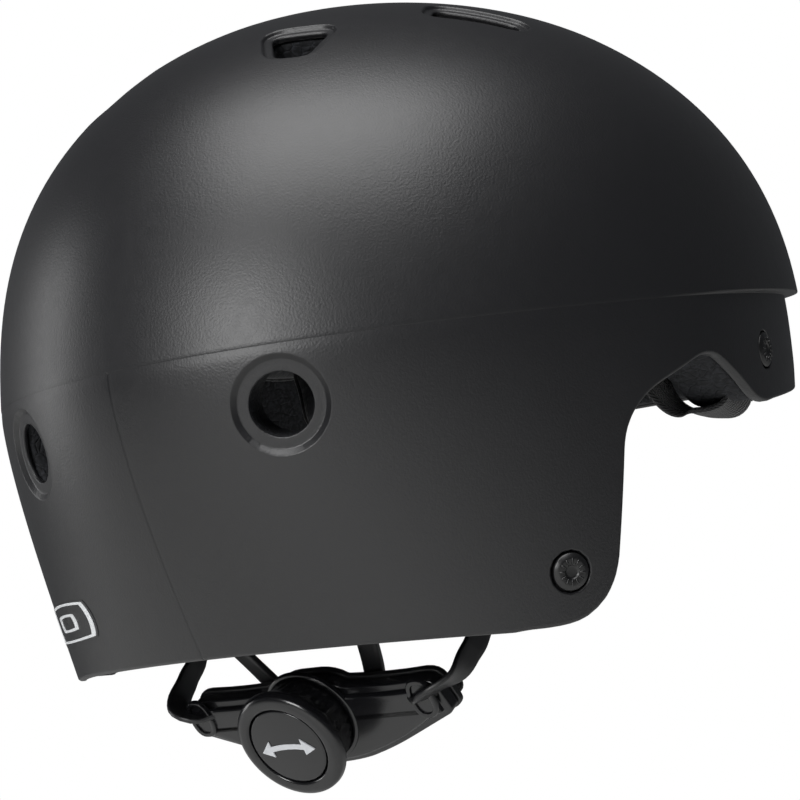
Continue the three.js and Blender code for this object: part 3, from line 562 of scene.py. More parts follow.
def surface_frame(degrees, z, inset=0.0, lean=0.0):
    """Axes at a point of the dome: X sideways, Y up the surface, Z outward."""
    turn = math.radians(degrees)
    rise, h = float(rise_at(turn, z, inset)), 0.01
    here = dome_point(turn, rise, inset)
    up = unit(dome_point(turn, rise + h, inset) - dome_point(turn, rise - h, inset))
    side = dome_point(turn - h, rise, inset) - dome_point(turn + h, rise, inset)
    out = unit(np.cross(side, up))
    if out @ (np.array([0, 0, 40.0]) - here) > 0:
        out = -out
    across = unit(np.cross(up, out))
    c, s = math.cos(math.radians(lean)), math.sin(math.radians(lean))
    matrix = np.eye(4)
    matrix[:3, 0], matrix[:3, 1] = across * c + up * s, up * c - across * s
    matrix[:3, 2], matrix[:3, 3] = out, here
    return matrix


def shell_inner(turn, level):
    return WALL + brim_step(turn) * (1 - smooth(level, 1, 1.35))


def shell_outer(turn, level):
    """The band is set in under the dome; the step is rounded over the lip, and a seam runs up the back."""
    settings = bpy.context.scene.helmet_shell
    lip = settings.lip / MM / 2
    rise = np.where(level < 1, (level - 1) * 90, (level - 1) * 140)
    across = 112 * np.abs(np.sin(turn)) * np.where(np.cos(turn) > 0, 1, 100)
    groove = settings.seam_depth / MM * np.exp(-(across / (settings.seam / MM / 2)) ** 2)
    return brim_step(turn) * (1 - smooth(rise, -lip, lip)) + groove * smooth(-rise, -0.2, 0.8)


def liner_outer(turn, level):
    return shell_inner(turn, level) + GAP


def liner_inner(turn, level):
    return shell_inner(turn, level) + GAP + 10 + 10 * smooth(level, 0, 1.1)


def bend(a, b, c, steps=8):
    """Points of a quadratic curve after its first point."""
    a, b, c = (np.array(p, float) for p in (a, b, c))
    return [(1 - t) ** 2 * a + 2 * t * (1 - t) * b + t * t * c for t in np.linspace(0, 1, steps + 1)[1:]]


def ear_outline(m):
    """The cut-away round the ear and under the brow, as y and z, grown by m."""
    points = [(-190, -40), (-190, 94 + m), (-23, 60.6 + m)]
    points += bend((-23, 60.6 + m), (-12, 57.2 + m), (-4, 60.8 + m)) + [(11, 67.2 + m)]
    points += bend((11, 67.2 + m), (17.5, 70.2 + m), (24, 66.4 + m)) + [(36 + m, 60 + m)]
    points += bend((36 + m, 60 + m), (46.2 + m, 54), (46.2 + m, 44), 12) + [(45.6 + m, 17)]
    points += bend((45.6 + m, 17), (46 + m, 0.5), (63 + m, -0.6), 12) + [(63 + m, -40)]
    return np.array(points)


def outline_distance(points, outline):
    """Signed distance of plane points from a closed outline, positive outside, and the way out."""
    a, b = outline, np.roll(outline, -1, axis=0)
    e = b - a
    d = points[:, None] - a[None]
    t = np.clip((d * e).sum(-1) / (e * e).sum(-1), 0, 1)
    q = d - e[None] * t[..., None]
    r = np.hypot(q[..., 0], q[..., 1])
    rows, k = np.arange(len(points)), r.argmin(1)
    away = q[rows, k] / np.maximum(r[rows, k], 1e-9)[:, None]
    x, y = points[:, :1], points[:, 1:]
    crosses = ((a[:, 1] > y) != (b[:, 1] > y))
    at = a[:, 0] + (y - a[:, 1]) / np.where(crosses, e[:, 1], 1) * e[:, 0]
    inside = (crosses & (x < at)).sum(1) % 2 == 1
    return np.where(inside, -r[rows, k], r[rows, k]), np.where(inside[:, None], -away, away)


def circle(radius, count=48):
    a = np.linspace(0, 2 * math.pi, count, endpoint=False)
    return np.stack([radius * np.cos(a), radius * np.sin(a)], -1)


def wedge(width, height, grow=0.0):
    x, y, r = width / 2 + grow, height / 2 + grow, 3 + grow * 0.4
    points = [(-x * 0.62 + r, -y), (x * 0.62 - r, -y)] + bend((x * 0.62 - r, -y), (x * 0.62, -y), (x * 0.7, -y + r), 5)
    points += [(x, y - r)] + bend((x, y - r), (x, y), (x - r, y), 6) + [(-x + r, y)]
    points += bend((-x + r, y), (-x, y), (-x, y - r), 6)
    points += [(-x * 0.7, -y + r)] + bend((-x * 0.7, -y + r), (-x * 0.62, -y), (-x * 0.62 + r, -y), 5)[:-1]
    return np.array(points)


class Hole:
    """An opening through a dome: its frame, its outline, and the profiles of its two edges, each a
    list of (distance outside the outline, depth under the surface)."""

    def __init__(self, matrix, outline, outer, inner):
        self.matrix, self.outline, self.outer, self.inner = matrix, outline, outer, inner
        self.back = np.linalg.inv(matrix)

    def local(self, points):
        return points @ self.back[:3, :3].T + self.back[:3, 3]

    def reach(self, points, grow):
        """Positive outside the outline grown by `grow`, for points near the opening."""
        where = self.local(points)
        value = np.full(len(points), 99.0)
        near = (np.hypot(where[:, 0], where[:, 1]) < 45) & (np.abs(where[:, 2] + 18) < 34)
        if near.any():
            value[near] = outline_distance(where[near, :2], self.outline)[0] - grow
        return value

    def fitted(self, points):
        """Height of the surface over the plane of the opening, as a function."""
        where = self.local(points)
        x, y = where[:, 0], where[:, 1]
        terms = lambda x, y: np.stack([np.ones_like(x), x, y, x * x, x * y, y * y], -1)
        weights = np.linalg.lstsq(terms(x, y), where[:, 2], rcond=None)[0]
        return lambda x, y: terms(x, y) @ weights


def cut_skin(turns, levels, place, cuts):
    """A skin over a grid of turns and levels, cut where any of `cuts` is negative. Returns the turn
    and level of each vertex, the faces, and for each cut its closed loops of vertices and its keys."""
    columns, rows = len(turns), len(levels)
    grid_turn, grid_level = (g.ravel() for g in np.meshgrid(turns, levels, indexing="ij"))
    values = np.array([cut(grid_turn, grid_level) for cut in cuts])
    i, j = (g.ravel() for g in np.meshgrid(np.arange(columns), np.arange(rows - 1), indexing="ij"))
    k = (i + 1) % columns
    quads = np.stack([i * rows + j, k * rows + j, k * rows + j + 1, i * rows + j + 1], -1)
    keep = values[:, quads] > 0
    whole = keep.all(axis=(0, 2))
    gone = (~keep).all(axis=2).any(axis=0)
    faces = quads[whole].tolist()
    base = columns * rows + 1
    edges, following = {}, [{} for _ in cuts]
    for cell in np.nonzero(~whole & ~gone)[0]:
        ids, which = quads[cell], int(np.nonzero(~keep[:, cell].all(axis=1))[0][0])
        inside, polygon, ends = keep[which, cell], [], {}
        for n in range(4):
            a, b, m = int(ids[n]), int(ids[(n + 1) % 4]), (n + 1) % 4
            if inside[n]:
                polygon.append(a)
            if inside[n] != inside[m]:
                new = edges.setdefault((which, min(a, b), max(a, b)), base + len(edges))
                polygon.append(new)
                ends[bool(inside[n])] = new
        following[which][ends[True]] = ends[False]
        faces.append(polygon)
    top = columns * rows
    faces.extend([c * rows + rows - 1, ((c + 1) % columns) * rows + rows - 1, top] for c in range(columns))
    turn = np.concatenate([grid_turn, [0.0], np.zeros(len(edges))])
    level = np.concatenate([grid_level, [2.0], np.zeros(len(edges))])
    for which, cut in enumerate(cuts):
        keys = [key for key in edges if key[0] == which]
        if not keys:
            continue
        a, b = np.array([key[1] for key in keys]), np.array([key[2] for key in keys])
        ta, tb, la, lb = turn[a], turn[b], level[a], level[b]
        tb = np.where(tb - ta > math.pi, tb - 2 * math.pi, np.where(ta - tb > math.pi, tb + 2 * math.pi, tb))
        low, high, f_low, f_high = np.zeros(len(a)), np.ones(len(a)), values[which][a], values[which][b]
        for _ in range(5):
            t = low + (high - low) * f_low / (f_low - f_high)
            f = cut(ta + (tb - ta) * t, la + (lb - la) * t)
            same = (f > 0) == (f_low > 0)
            low, f_low = np.where(same, t, low), np.where(same, f, f_low)
            high, f_high = np.where(same, high, t), np.where(same, f_high, f)
            if np.abs(f).max() < 1e-4:
                break
        t = np.clip(t, 0.015, 0.985)
        new = np.array([edges[key] for key in keys])
        turn[new], level[new] = ta + (tb - ta) * t, la + (lb - la) * t
    loops = []
    for step in following:
        left, found = dict(step), []
        while left:
            first = next(iter(left))
            ring, here = [first], left.pop(first)
            while here != first:
                ring.append(here)
                here = left.pop(here)
            found.append(ring)
        loops.append(found)
    return turn, level, faces, loops, edges


def slopes(place, turn, level, h_turn=0.012, h_level=0.0016):
    """Directions of growing turn and growing level on a surface."""
    along = (place(turn + h_turn, level) - place(turn - h_turn, level)) / (2 * h_turn)
    high = np.minimum(level + h_level, 2.0)
    up = (place(turn, high) - place(turn, level - h_level)) / (high - level + h_level)[:, None]
    return along, up


def dome_body(outer_inset, inner_inset, rim, edge, holes, turns, levels):
    """A closed dome between two skins, cut along `rim(y, z)` with rounded edges, with holes."""
    outer = lambda t, l: level_point(t, l, outer_inset(t, l))
    inner = lambda t, l: level_point(t, l, inner_inset(t, l))

    def rim_cut(t, l):
        p = outer(t, l)
        return rim(p) - edge

    def through(place, hole, grow):
        return lambda t, l: hole.reach(place(t, l), grow)

    points, normals, faces = [], [], []
    skins = []
    for place, sign, pick in ((outer, 1, 0), (inner, -1, 1)):
        cuts = [rim_cut] + [through(place, hole, (hole.outer, hole.inner)[pick][0][0]) for hole in holes]
        turn, level, polygons, loops, edges = cut_skin(turns, levels, place, cuts)
        used = np.unique(np.concatenate([np.array(p) for p in polygons]))
        shift = np.full(len(turn), -1)
        shift[used] = np.arange(len(used)) + len(points)
        xyz = place(turn[used], level[used])
        along, up = slopes(place, turn[used], level[used])
        out = unit(np.cross(along, up)) * sign
        out[level[used] >= 2.0] = (0, 0, sign)
        points.extend(xyz)
        normals.extend(out)
        faces.extend([shift[v] for v in (p if sign > 0 else p[::-1])] for p in polygons)
        skins.append({"turn": turn, "level": level, "shift": shift, "loops": loops, "edges": edges})
    fixed = len(points)
    points, normals = list(points), list(normals)

    def strip(low, high):
        n = len(low)
        faces.extend([low[(k + 1) % n], low[k], high[k], high[(k + 1) % n]] for k in range(n))

    def ring(xyz):
        start = len(points)
        points.extend(xyz)
        return list(range(start, start + len(xyz)))

    first, second = skins
    names = {value: key for key, value in first["edges"].items()}
    for loop in first["loops"][0]:
        ids = [int(first["shift"][v]) for v in loop]
        mates = [int(second["shift"][second["edges"][names[v]]]) for v in loop]
        turn, level = first["turn"][loop], first["level"][loop]
        along, up = slopes(outer, turn, level)
        g_turn = (rim_cut(turn + 0.004, level) - rim_cut(turn - 0.004, level)) / 0.008
        g_level = (rim_cut(turn, level + 0.004) - rim_cut(turn, level - 0.004)) / 0.008
        aa, ab, bb = (along * along).sum(-1), (along * up).sum(-1), (up * up).sum(-1)
        det = aa * bb - ab * ab
        into = unit(along * ((bb * g_turn - ab * g_level) / det)[:, None]
                    + up * ((aa * g_level - ab * g_turn) / det)[:, None])
        top, bottom = np.array([points[v] for v in ids]), np.array([points[v] for v in mates])
        through_wall = unit(bottom - top)
        low = ids
        for centre, sign, angles in ((top, 1, (20, 42, 66, 90)), (bottom, -1, (90, 66, 42, 20))):
            for a in (math.radians(v) for v in angles):
                xyz = centre - into * edge * math.sin(a) + through_wall * (sign * edge * (1 - math.cos(a)))
                high = ring(xyz)
                strip(low, high)
                low = high
        strip(low, mates)

    for index, hole in enumerate(holes, start=1):
        for loop, far in zip(first["loops"][index], second["loops"][index]):
            ids = [int(first["shift"][v]) for v in loop]
            mates = [int(second["shift"][v]) for v in far]
            where = hole.local(np.array([points[v] for v in ids]))
            _, away = outline_distance(where[:, :2], hole.outline)
            near = hole.fitted(np.array([points[v] for v in ids] + [hole_centre(hole, outer, first, loop)]))
            deep = hole.fitted(np.array([points[v] for v in mates] + [hole_centre(hole, inner, second, far)]))
            reach = hole.outer[0][0]
            low = ids

            def level_ring(grow, depth, surface, spread=1.0):
                xy = where[:, :2] - away * (reach - grow)
                z = surface(xy[:, 0], xy[:, 1]) - depth
                return ring(place_points(np.column_stack([xy, z]), hole.matrix))

            for grow, depth in hole.outer[1:]:
                high = level_ring(grow, depth, near)
                strip(low, high)
                low = high
            for grow, depth in hole.inner[:0:-1]:
                high = level_ring(grow, -depth, deep)
                strip(low, high)
                low = high
            bridge(points, faces, hole, low, mates)
    return np.array(points), faces, np.array(normals), fixed


def hole_centre(hole, place, skin, loop):
    """The skin's own point in the middle of an opening."""
    turn, level = skin["turn"][loop], skin["level"][loop]
    spot = place(np.array([turn.mean()]), np.array([level.mean()]))
    return spot[0]


def bridge(points, faces, hole, low, high):
    """Triangles between two rings of different counts round the same opening."""
    def angles(ids):
        where = hole.local(np.array([points[v] for v in ids]))
        return np.arctan2(where[:, 1], where[:, 0])

    a, b = angles(low), angles(high)
    turning = np.sign(np.sum((np.diff(np.concatenate([a, a[:1]])) + math.pi) % (2 * math.pi) - math.pi))
    a, b = a * turning, b * turning
    start = int(np.argmin(np.abs((b - a[0] + math.pi) % (2 * math.pi) - math.pi)))
    high, b = high[start:] + high[:start], np.roll(b, -start)
    turns_a = (np.diff(np.concatenate([a, a[:1]])) + math.pi) % (2 * math.pi) - math.pi
    a = a[0] + np.concatenate([[0], np.cumsum(turns_a)])
    offset = (b[0] - a[0] + math.pi) % (2 * math.pi) - math.pi
    turns_b = (np.diff(np.concatenate([b, b[:1]])) + math.pi) % (2 * math.pi) - math.pi
    b = a[0] + offset + np.concatenate([[0], np.cumsum(turns_b)])
    i = j = 0
    n, m = len(low), len(high)
    while i < n or j < m:
        if j >= m or (i < n and a[i + 1] <= b[j + 1]):
            faces.append([low[(i + 1) % n], low[i % n], high[j % m]])
            i += 1
        else:
            faces.append([low[i % n], high[j % m], high[(j + 1) % m]])
            j += 1


def vertex_normals(points, faces):
    total = np.zeros_like(points)
    for face in faces:
        p = points[face]
        n = np.zeros(3)
        for k in range(1, len(face) - 1):
            n += np.cross(p[k] - p[0], p[k + 1] - p[0])
        size = np.linalg.norm(n)
        if size > 1e-12:
            total[face] += n / math.sqrt(size)
    return unit(total)


def dome_columns(extra=()):
    turns = np.linspace(-math.pi, math.pi, 300, endpoint=False) + 0.0007
    return np.unique(np.concatenate([turns] + [np.array([v]) for v in extra]))


def dome_levels(fine=()):
    low = np.linspace(-0.03, 0.982, 42)
    high = 1 + np.linspace(2.2, 139.0, 56) / 140
    return np.concatenate([low, fine, high])


VENT_ROUND = {"turn": 24.2, "z": 57.7}
VENT_SLANTS = (
    {"turn": 24.5, "z": 159, "width": 15, "height": 15, "lean": 0},
    {"turn": 60, "z": 168, "width": 12, "height": 24, "lean": 62},
    {"turn": 124, "z": 166, "width": 12, "height": 26, "lean": -42},
    {"turn": 156, "z": 143, "width": 15, "height": 20, "lean": -8},
)
RIVETS = {"front": (97.5, 73.3), "rear": (58.9, 14.2)}


def rivet_frame(place, side):
    turn, z = RIVETS[place]
    return surface_frame(turn * side, z, 2.2 + float(brim_step(math.radians(turn))))


def shell_holes():
    dish = [(4.7, 0), (4.5, 0.02), (4.35, 0.09), (4.15, 0.25), (3.6, 0.75), (3.15, 1.15), (3.0, 1.27), (2.7, 1.34),
            (1.5, 1.38), (0.35, 1.4), (0.14, 1.47), (0.03, 1.65), (0, 2.0)]
    recess = [(3.3, 0), (3.0, 0.04), (2.75, 0.16), (2.5, 0.45), (2.36, 0.85), (2.1, 1.12), (1.6, 1.22), (0.7, 1.26),
              (0.3, 1.38), (0.08, 1.6), (0, 1.9)]
    seat = [(3.3, 0), (3.05, 0.04), (2.8, 0.2), (2.66, 0.5), (2.6, 1.2), (2.5, 1.6), (2.2, 1.78), (0.4, 1.8), (0, 2.0)]
    inner = [(1.0, 0), (0.6, 0.03), (0.2, 0.18), (0, 0.45)]
    holes = []
    for side in (1, -1):
        holes.append(Hole(surface_frame(VENT_ROUND["turn"] * side, VENT_ROUND["z"]), circle(8.0), dish, inner))
        for vent in VENT_SLANTS:
            matrix = surface_frame(vent["turn"] * side, vent["z"], 0.0, vent["lean"] * side)
            holes.append(Hole(matrix, wedge(vent["width"], vent["height"]), recess, inner))
        for place in RIVETS:
            holes.append(Hole(rivet_frame(place, side), circle(2.6, 32), seat, [(0.6, 0), (0.2, 0.1), (0, 0.4)]))
    return holes


def liner_holes():
    edge = [(1.6, 0), (1.1, 0.06), (0.6, 0.32), (0.2, 0.85), (0, 1.6)]
    holes = []
    for side in (1, -1):
        holes.append(Hole(surface_frame(VENT_ROUND["turn"] * side, VENT_ROUND["z"]), circle(8.4), edge, edge))
        for vent in VENT_SLANTS:
            matrix = surface_frame(vent["turn"] * side, vent["z"], 0.0, vent["lean"] * side)
            holes.append(Hole(matrix, wedge(vent["width"], vent["height"], 0.4), edge, edge))
    return holes


def rim_of(margin, base):
    outline = ear_outline(margin)

    def rim(points):
        flat = outline_distance(points[:, 1:], outline)[0]
        foot = points[:, 2] - base
        return np.minimum(flat, foot) - 0.25 * np.maximum(3.0 - np.abs(flat - foot), 0) ** 2 / 3.0

    return rim


class HELMET_OT_shell(bpy.types.Operator):
    """Builds the moulded outer shell with its brim step, vents, rivet seats and rear seam"""
    bl_idname = "helmet.shell"
    bl_label = "Build shell"

    def execute(self, context):
        settings = context.scene.helmet_shell
        seam = [s * v for v in (0.0, 0.0009, 0.0022, 0.0036, 0.0052, 0.0075) for s in (1, -1)]
        lip = 1 + np.array([-1.0, -0.72, -0.5, -0.36, -0.22, -0.08]) / 90
        over = 1 + np.array([0.06, 0.2, 0.34, 0.48, 0.7, 1.1]) / 140
        made = dome_body(shell_outer, shell_inner, rim_of(0.0, 0.0), settings.edge / MM, shell_holes(),
                         dome_columns(seam), dome_levels(np.concatenate([lip, over])))
        points, faces, skin_normals, fixed = made
        normals = vertex_normals(points, faces)
        normals[:fixed] = skin_normals
        settle(put("shell", points, faces, "shell", normals=normals), "root", "shell", "outer_shell")
        return {"FINISHED"}


class HELMET_OT_liner(bpy.types.Operator):
    """Builds the bead-foam liner inside the shell"""
    bl_idname = "helmet.liner"
    bl_label = "Build foam liner"

    def execute(self, context):
        points, faces, skin_normals, fixed = dome_body(
            liner_outer, liner_inner, rim_of(1.2, 1.0), 1.6, liner_holes(), dome_columns(), dome_levels())
        normals = vertex_normals(points, faces)
        normals[:fixed] = skin_normals
        settle(put("liner", points, faces, "foam", normals=normals), "root", "foam", "foam_liner")
        return {"FINISHED"}


# ---- repeats made with geometry nodes ----------------------------------------------------
def node_tree(name, inputs):
    tree = bpy.data.node_groups.new(name, "GeometryNodeTree")
    tree.interface.new_socket("Geometry", in_out="INPUT", socket_type="NodeSocketGeometry")
    sockets = {}
    for label, kind, value in inputs:
        socket = tree.interface.new_socket(label, in_out="INPUT", socket_type=kind)
        socket.default_value = value
        sockets[label] = socket.identifier
    tree.interface.new_socket("Geometry", in_out="OUTPUT", socket_type="NodeSocketGeometry")
    return tree, tree.nodes.new("NodeGroupInput"), sockets


def run_tree(obj, tree, sockets, values):
    modifier = obj.modifiers.new("Repeat", "NODES")
    modifier.node_group = tree
    for label, value in values.items():
        modifier[sockets[label]] = value
    bake(obj)
    bpy.data.node_groups.remove(tree)
    obj.data.polygons.foreach_set("use_smooth", [True] * len(obj.data.polygons))
    return obj


def end_tree(tree, geometry, key):
    real = add(tree, "GeometryNodeRealizeInstances", {"Geometry": geometry})
    painted = add(tree, "GeometryNodeSetMaterial", {"Geometry": real.outputs[0], "Material": material(key)})
    add(tree, "NodeGroupOutput", {"Geometry": painted.outputs[0]})


def stitch_row(name, path, key="thread"):
    """Short rounded stitches at an even pitch along a path of millimetre points."""
    soft = bpy.context.scene.helmet_soft
    tree, given, sockets = node_tree("stitch row", (
        ("Pitch", "NodeSocketFloat", 0.003), ("Thread", "NodeSocketFloat", 0.0006)))
    curve = add(tree, "GeometryNodeMeshToCurve", {"Mesh": given.outputs["Geometry"]})
    even = add(tree, "GeometryNodeResampleCurve", {"Curve": curve.outputs[0], "Length": given.outputs["Pitch"]},
               mode="LENGTH")
    reach = add(tree, "ShaderNodeMath", {0: given.outputs["Pitch"], 1: 0.36}, operation="MULTIPLY")
    back = add(tree, "ShaderNodeMath", {0: reach.outputs[0], 1: -1.0}, operation="MULTIPLY")
    low = add(tree, "ShaderNodeCombineXYZ", {"X": 0.0, "Y": 0.0, "Z": back.outputs[0]})
    high = add(tree, "ShaderNodeCombineXYZ", {"X": 0.0, "Y": 0.0, "Z": reach.outputs[0]})
    line = add(tree, "GeometryNodeCurvePrimitiveLine", {"Start": low.outputs[0], "End": high.outputs[0]})
    radius = add(tree, "ShaderNodeMath", {0: given.outputs["Thread"], 1: 0.5}, operation="MULTIPLY")
    round_ = add(tree, "GeometryNodeCurvePrimitiveCircle", {"Resolution": 6, "Radius": radius.outputs[0]})
    stitch = add(tree, "GeometryNodeCurveToMesh", {"Curve": line.outputs[0], "Profile Curve": round_.outputs[0],
                                                   "Fill Caps": True})
    along = add(tree, "GeometryNodeInputTangent")
    aim = add(tree, "FunctionNodeAlignRotationToVector", {"Vector": along.outputs[0]}, axis="Z")
    spread = add(tree, "GeometryNodeInstanceOnPoints", {"Points": even.outputs[0], "Instance": stitch.outputs[0],
                                                        "Rotation": aim.outputs[0]})
    end_tree(tree, spread.outputs[0], key)
    mesh = bpy.data.meshes.new(name)
    mesh.from_pydata((np.asarray(path) * MM).tolist(), [(k, k + 1) for k in range(len(path) - 1)], [])
    obj = bpy.data.objects.new(name, mesh)
    bpy.context.scene.collection.objects.link(obj)
    return run_tree(obj, tree, sockets, {"Pitch": soft.stitch, "Thread": soft.thread})


def rib_ring(name, matrix, count, radius, size, key):
    """Small upright ribs in a ring, each turned to face the middle. Sizes in millimetres."""
    tree, given, sockets = node_tree("rib ring", (
        ("Count", "NodeSocketInt", 12), ("Radius", "NodeSocketFloat", 0.003), ("Rib", "NodeSocketVector", (0, 0, 0))))
    ring = add(tree, "GeometryNodeMeshCircle", {"Vertices": given.outputs["Count"],
                                                "Radius": given.outputs["Radius"]}, fill_type="NONE")
    rib = add(tree, "GeometryNodeMeshCube", {"Size": given.outputs["Rib"], "Vertices X": 2, "Vertices Y": 2,
                                             "Vertices Z": 2})
    soft = add(tree, "GeometryNodeSubdivisionSurface", {"Mesh": rib.outputs["Mesh"], "Level": 1,
                                                        "Edge Crease": 0.55})
    here = add(tree, "GeometryNodeInputPosition")
    aim = add(tree, "FunctionNodeAlignRotationToVector", {"Vector": here.outputs[0]}, axis="X", pivot_axis="Z")
    spread = add(tree, "GeometryNodeInstanceOnPoints", {"Points": ring.outputs["Mesh"],
                                                        "Instance": soft.outputs[0], "Rotation": aim.outputs[0]})
    end_tree(tree, spread.outputs[0], key)
    obj = bpy.data.objects.new(name, bpy.data.meshes.new(name))
    bpy.context.scene.collection.objects.link(obj)
    run_tree(obj, tree, sockets, {"Count": count, "Radius": radius * MM, "Rib": [v * MM for v in size]})
    place = Matrix(matrix.tolist())
    place.translation *= MM
    obj.data.transform(place)
    return obj


# ---- pads --------------------------------------------------------------------------------
PADS = {
    "pad_brow": (180, 1.06, 40, 0.2), "pad_side_right": (114, 1.22, 16, 0.2), "pad_side_left": (-114, 1.22, 16, 0.2),
    "pad_rear_right": (38, 0.98, 17, 0.3), "pad_rear_left": (-38, 0.98, 17, 0.3),
}


def merged_copy(node, name, key):
    return from_cad(node, name, key, bevel=0)


TUCK = -0.0009          # how far a pad's skin starts inside its final size
CLOTH_STEPS = 20        # frames that the cloth is given to fill


def swell(obj, limit, pressure=4.0):
    """Fills a pad: remeshes it evenly, lets cloth take pressure, and keeps each point near its start."""
    soft = bpy.context.scene.helmet_soft
    remesh = obj.modifiers.new("Cells", "REMESH")
    remesh.mode, remesh.voxel_size = "VOXEL", soft.voxel
    bake(obj)
    tuck = obj.modifiers.new("Tuck", "DISPLACE")
    tuck.strength, tuck.mid_level = TUCK, 0.0
    bake(obj)
    start = np.array([v.co[:] for v in obj.data.vertices])
    scene = bpy.context.scene
    cloth = obj.modifiers.new("Fill", "CLOTH")
    settings = cloth.settings
    settings.use_pressure, settings.uniform_pressure_force = True, pressure
    settings.effector_weights.gravity = 0.0
    settings.quality, settings.mass = 5, 0.2
    settings.tension_stiffness = settings.compression_stiffness = 12
    settings.bending_stiffness = 0.6
    for step in range(1, CLOTH_STEPS + 1):
        scene.frame_set(step)
    bake(obj)
    scene.frame_set(1)
    moved = np.array([v.co[:] for v in obj.data.vertices]) - start
    far = np.linalg.norm(moved, axis=1, keepdims=True)
    moved *= np.minimum(1.0, limit / np.maximum(far, 1e-9))
    obj.data.vertices.foreach_set("co", (start + moved).ravel())
    fine = obj.modifiers.new("Fine", "SUBSURF")
    fine.levels = fine.render_levels = 1
    bake(obj)
    obj.data.polygons.foreach_set("use_smooth", [True] * len(obj.data.polygons))
    return obj


def cord_along(name, loop, radius, key, closed=True, sides=8):
    """A thin round cord along millimetre points."""
    loop = np.asarray(loop, float)
    n = len(loop)
    ahead = np.roll(loop, -1, axis=0) - np.roll(loop, 1, axis=0)
    if not closed:
        ahead[0], ahead[-1] = loop[1] - loop[0], loop[-1] - loop[-2]
    ahead = unit(ahead)
    helper = unit(loop.mean(axis=0) - loop)
    side = unit(np.cross(ahead, helper))
    up = np.cross(side, ahead)
    points, faces = [], []
    for k in range(n):
        for i in range(sides):
            a = 2 * math.pi * i / sides
            points.append(loop[k] + radius * (math.cos(a) * side[k] + math.sin(a) * up[k]))
    for k in range(n if closed else n - 1):
        m = (k + 1) % n
        for i in range(sides):
            j = (i + 1) % sides
            faces.append((k * sides + i, m * sides + i, m * sides + j, k * sides + j))
    if not closed:
        faces.append(tuple(range(sides)))
        faces.append(tuple((n - 1) * sides + i for i in range(sides))[::-1])
    return put(name, points, faces, key, crease=60)


def hugging(obj, loop, lift=0.0):
    """Moves loop points onto the skin of a pad."""
    tree = BVHTree.FromPolygons([v.co.copy() for v in obj.data.vertices], [p.vertices[:] for p in obj.data.polygons])
    found = []
    for p in loop:
        near, normal, _, _ = tree.find_nearest(Vector(p) * MM)
        found.append(np.array(near) / MM + np.array(normal) * lift)
    found = np.array(found)
    for _ in range(2):
        found = 0.5 * found + 0.25 * (np.roll(found, 1, axis=0) + np.roll(found, -1, axis=0))
    return found


def pad_outline(place, depth, shrink=1.0, count=96, round_=0.45):
    """The edge of a pad at a depth from its back, as millimetre points."""
    turn, level, half_turn, half_level = place
    loop = []
    for s in np.linspace(0, 4, count, endpoint=False):
        side, f = int(s), s - int(s)
        p, q = ((2 * f - 1, -1), (1, 2 * f - 1), (1 - 2 * f, 1), (-1, 1 - 2 * f))[side]
        u, v = p * math.sqrt(1 - round_ * q * q / 2), q * math.sqrt(1 - round_ * p * p / 2)
        where, up = math.radians(turn + u * half_turn * shrink), level + v * half_level * shrink
        loop.append(level_point(where, up, liner_inner(where, up) + 3.2 + depth))
    return np.array(loop)


class HELMET_OT_pads(bpy.types.Operator):
    """Fills the comfort pads and sews their bindings and quilting lines"""
    bl_idname = "helmet.pads"
    bl_label = "Build pads"

    def execute(self, context):
        limit = context.scene.helmet_soft.swell
        for node, place in PADS.items():
            body = swell(merged_copy(node, node + "_cushion", "cloth"), limit)
            binding = cord_along(node + "_binding", hugging(body, pad_outline(place, 3.2)), 0.75, "piping")
            quilt = cord_along(node + "_quilting", hugging(body, pad_outline(place, 8.6, 0.62)), 0.32, "piping")
            settle(body, "root", "cloth", node)
            for extra in (binding, quilt):
                settle(extra, "root", "cloth")
            hook = node.replace("pad", "hook")
            settle(merged_copy(hook, hook + "_tape", "hooks"), "root", "cloth", hook)
        body = swell(merged_copy("pad_crown", "pad_crown_cushion", "cloth"), limit)
        turns = np.linspace(0, 2 * math.pi, 90, endpoint=False)
        rim = [level_point(t, 1.72, liner_inner(t, 1.72) + 7.2) for t in turns]
        inner = [level_point(t, 1.86, liner_inner(t, 1.86) + 12) for t in turns]
        for name, loop, radius in (("binding", rim, 0.75), ("quilting", inner, 0.32)):
            settle(cord_along("pad_crown_" + name, hugging(body, loop), radius, "piping"), "root", "cloth")
        settle(body, "root", "cloth", "pad_crown")
        settle(merged_copy("hook_crown", "hook_crown_tape", "hooks"), "root", "cloth", "hook_crown")
        for word, side in SIDES.items():
            node = "nape_pad_" + word
            body = swell(merged_copy(node, node + "_cushion", "cloth"), 0.0022)
            loop = [(5, 2), *bend((5, 2), (20, -0.5), (35, 2)), *bend((35, 2), (41, 1), (41, -4)),
                    *bend((41, -4), (39, -9), (30, -10)), *bend((30, -10), (18, -13), (8, -16)),
                    *bend((8, -16), (5, -14), (5, -8))]
            edge = place_points([(x * side, y, -28.0) for x, y in loop], DIAL)
            binding = cord_along(node + "_binding", hugging(body, edge), 0.6, "piping")
            settle(body, "cradle", "cloth", node)
            settle(binding, "cradle", "cloth")
        return {"FINISHED"}


# ---- webbing and buckle ------------------------------------------------------------------
def levelwise(degrees):
    t = math.radians(degrees)
    return unit((-math.cos(t) * HALF_WIDTH, -math.sin(t) * FRONT_REACH, 0))


def front_leg(side):
    at = lambda degrees, z, inset: point_at(degrees * side, z, inset)
    path = [at(97.5, 67, 10.6), at(97.5, 61.6, 10.8), at(97, 59, 13), at(96, 58.2, 18), at(94.5, 60, 24.4),
            at(91, 66, 28), at(87.5, 76, 28.6), at(85.6, 88, 28.6)]
    return path, lambda s: levelwise(92 * side)


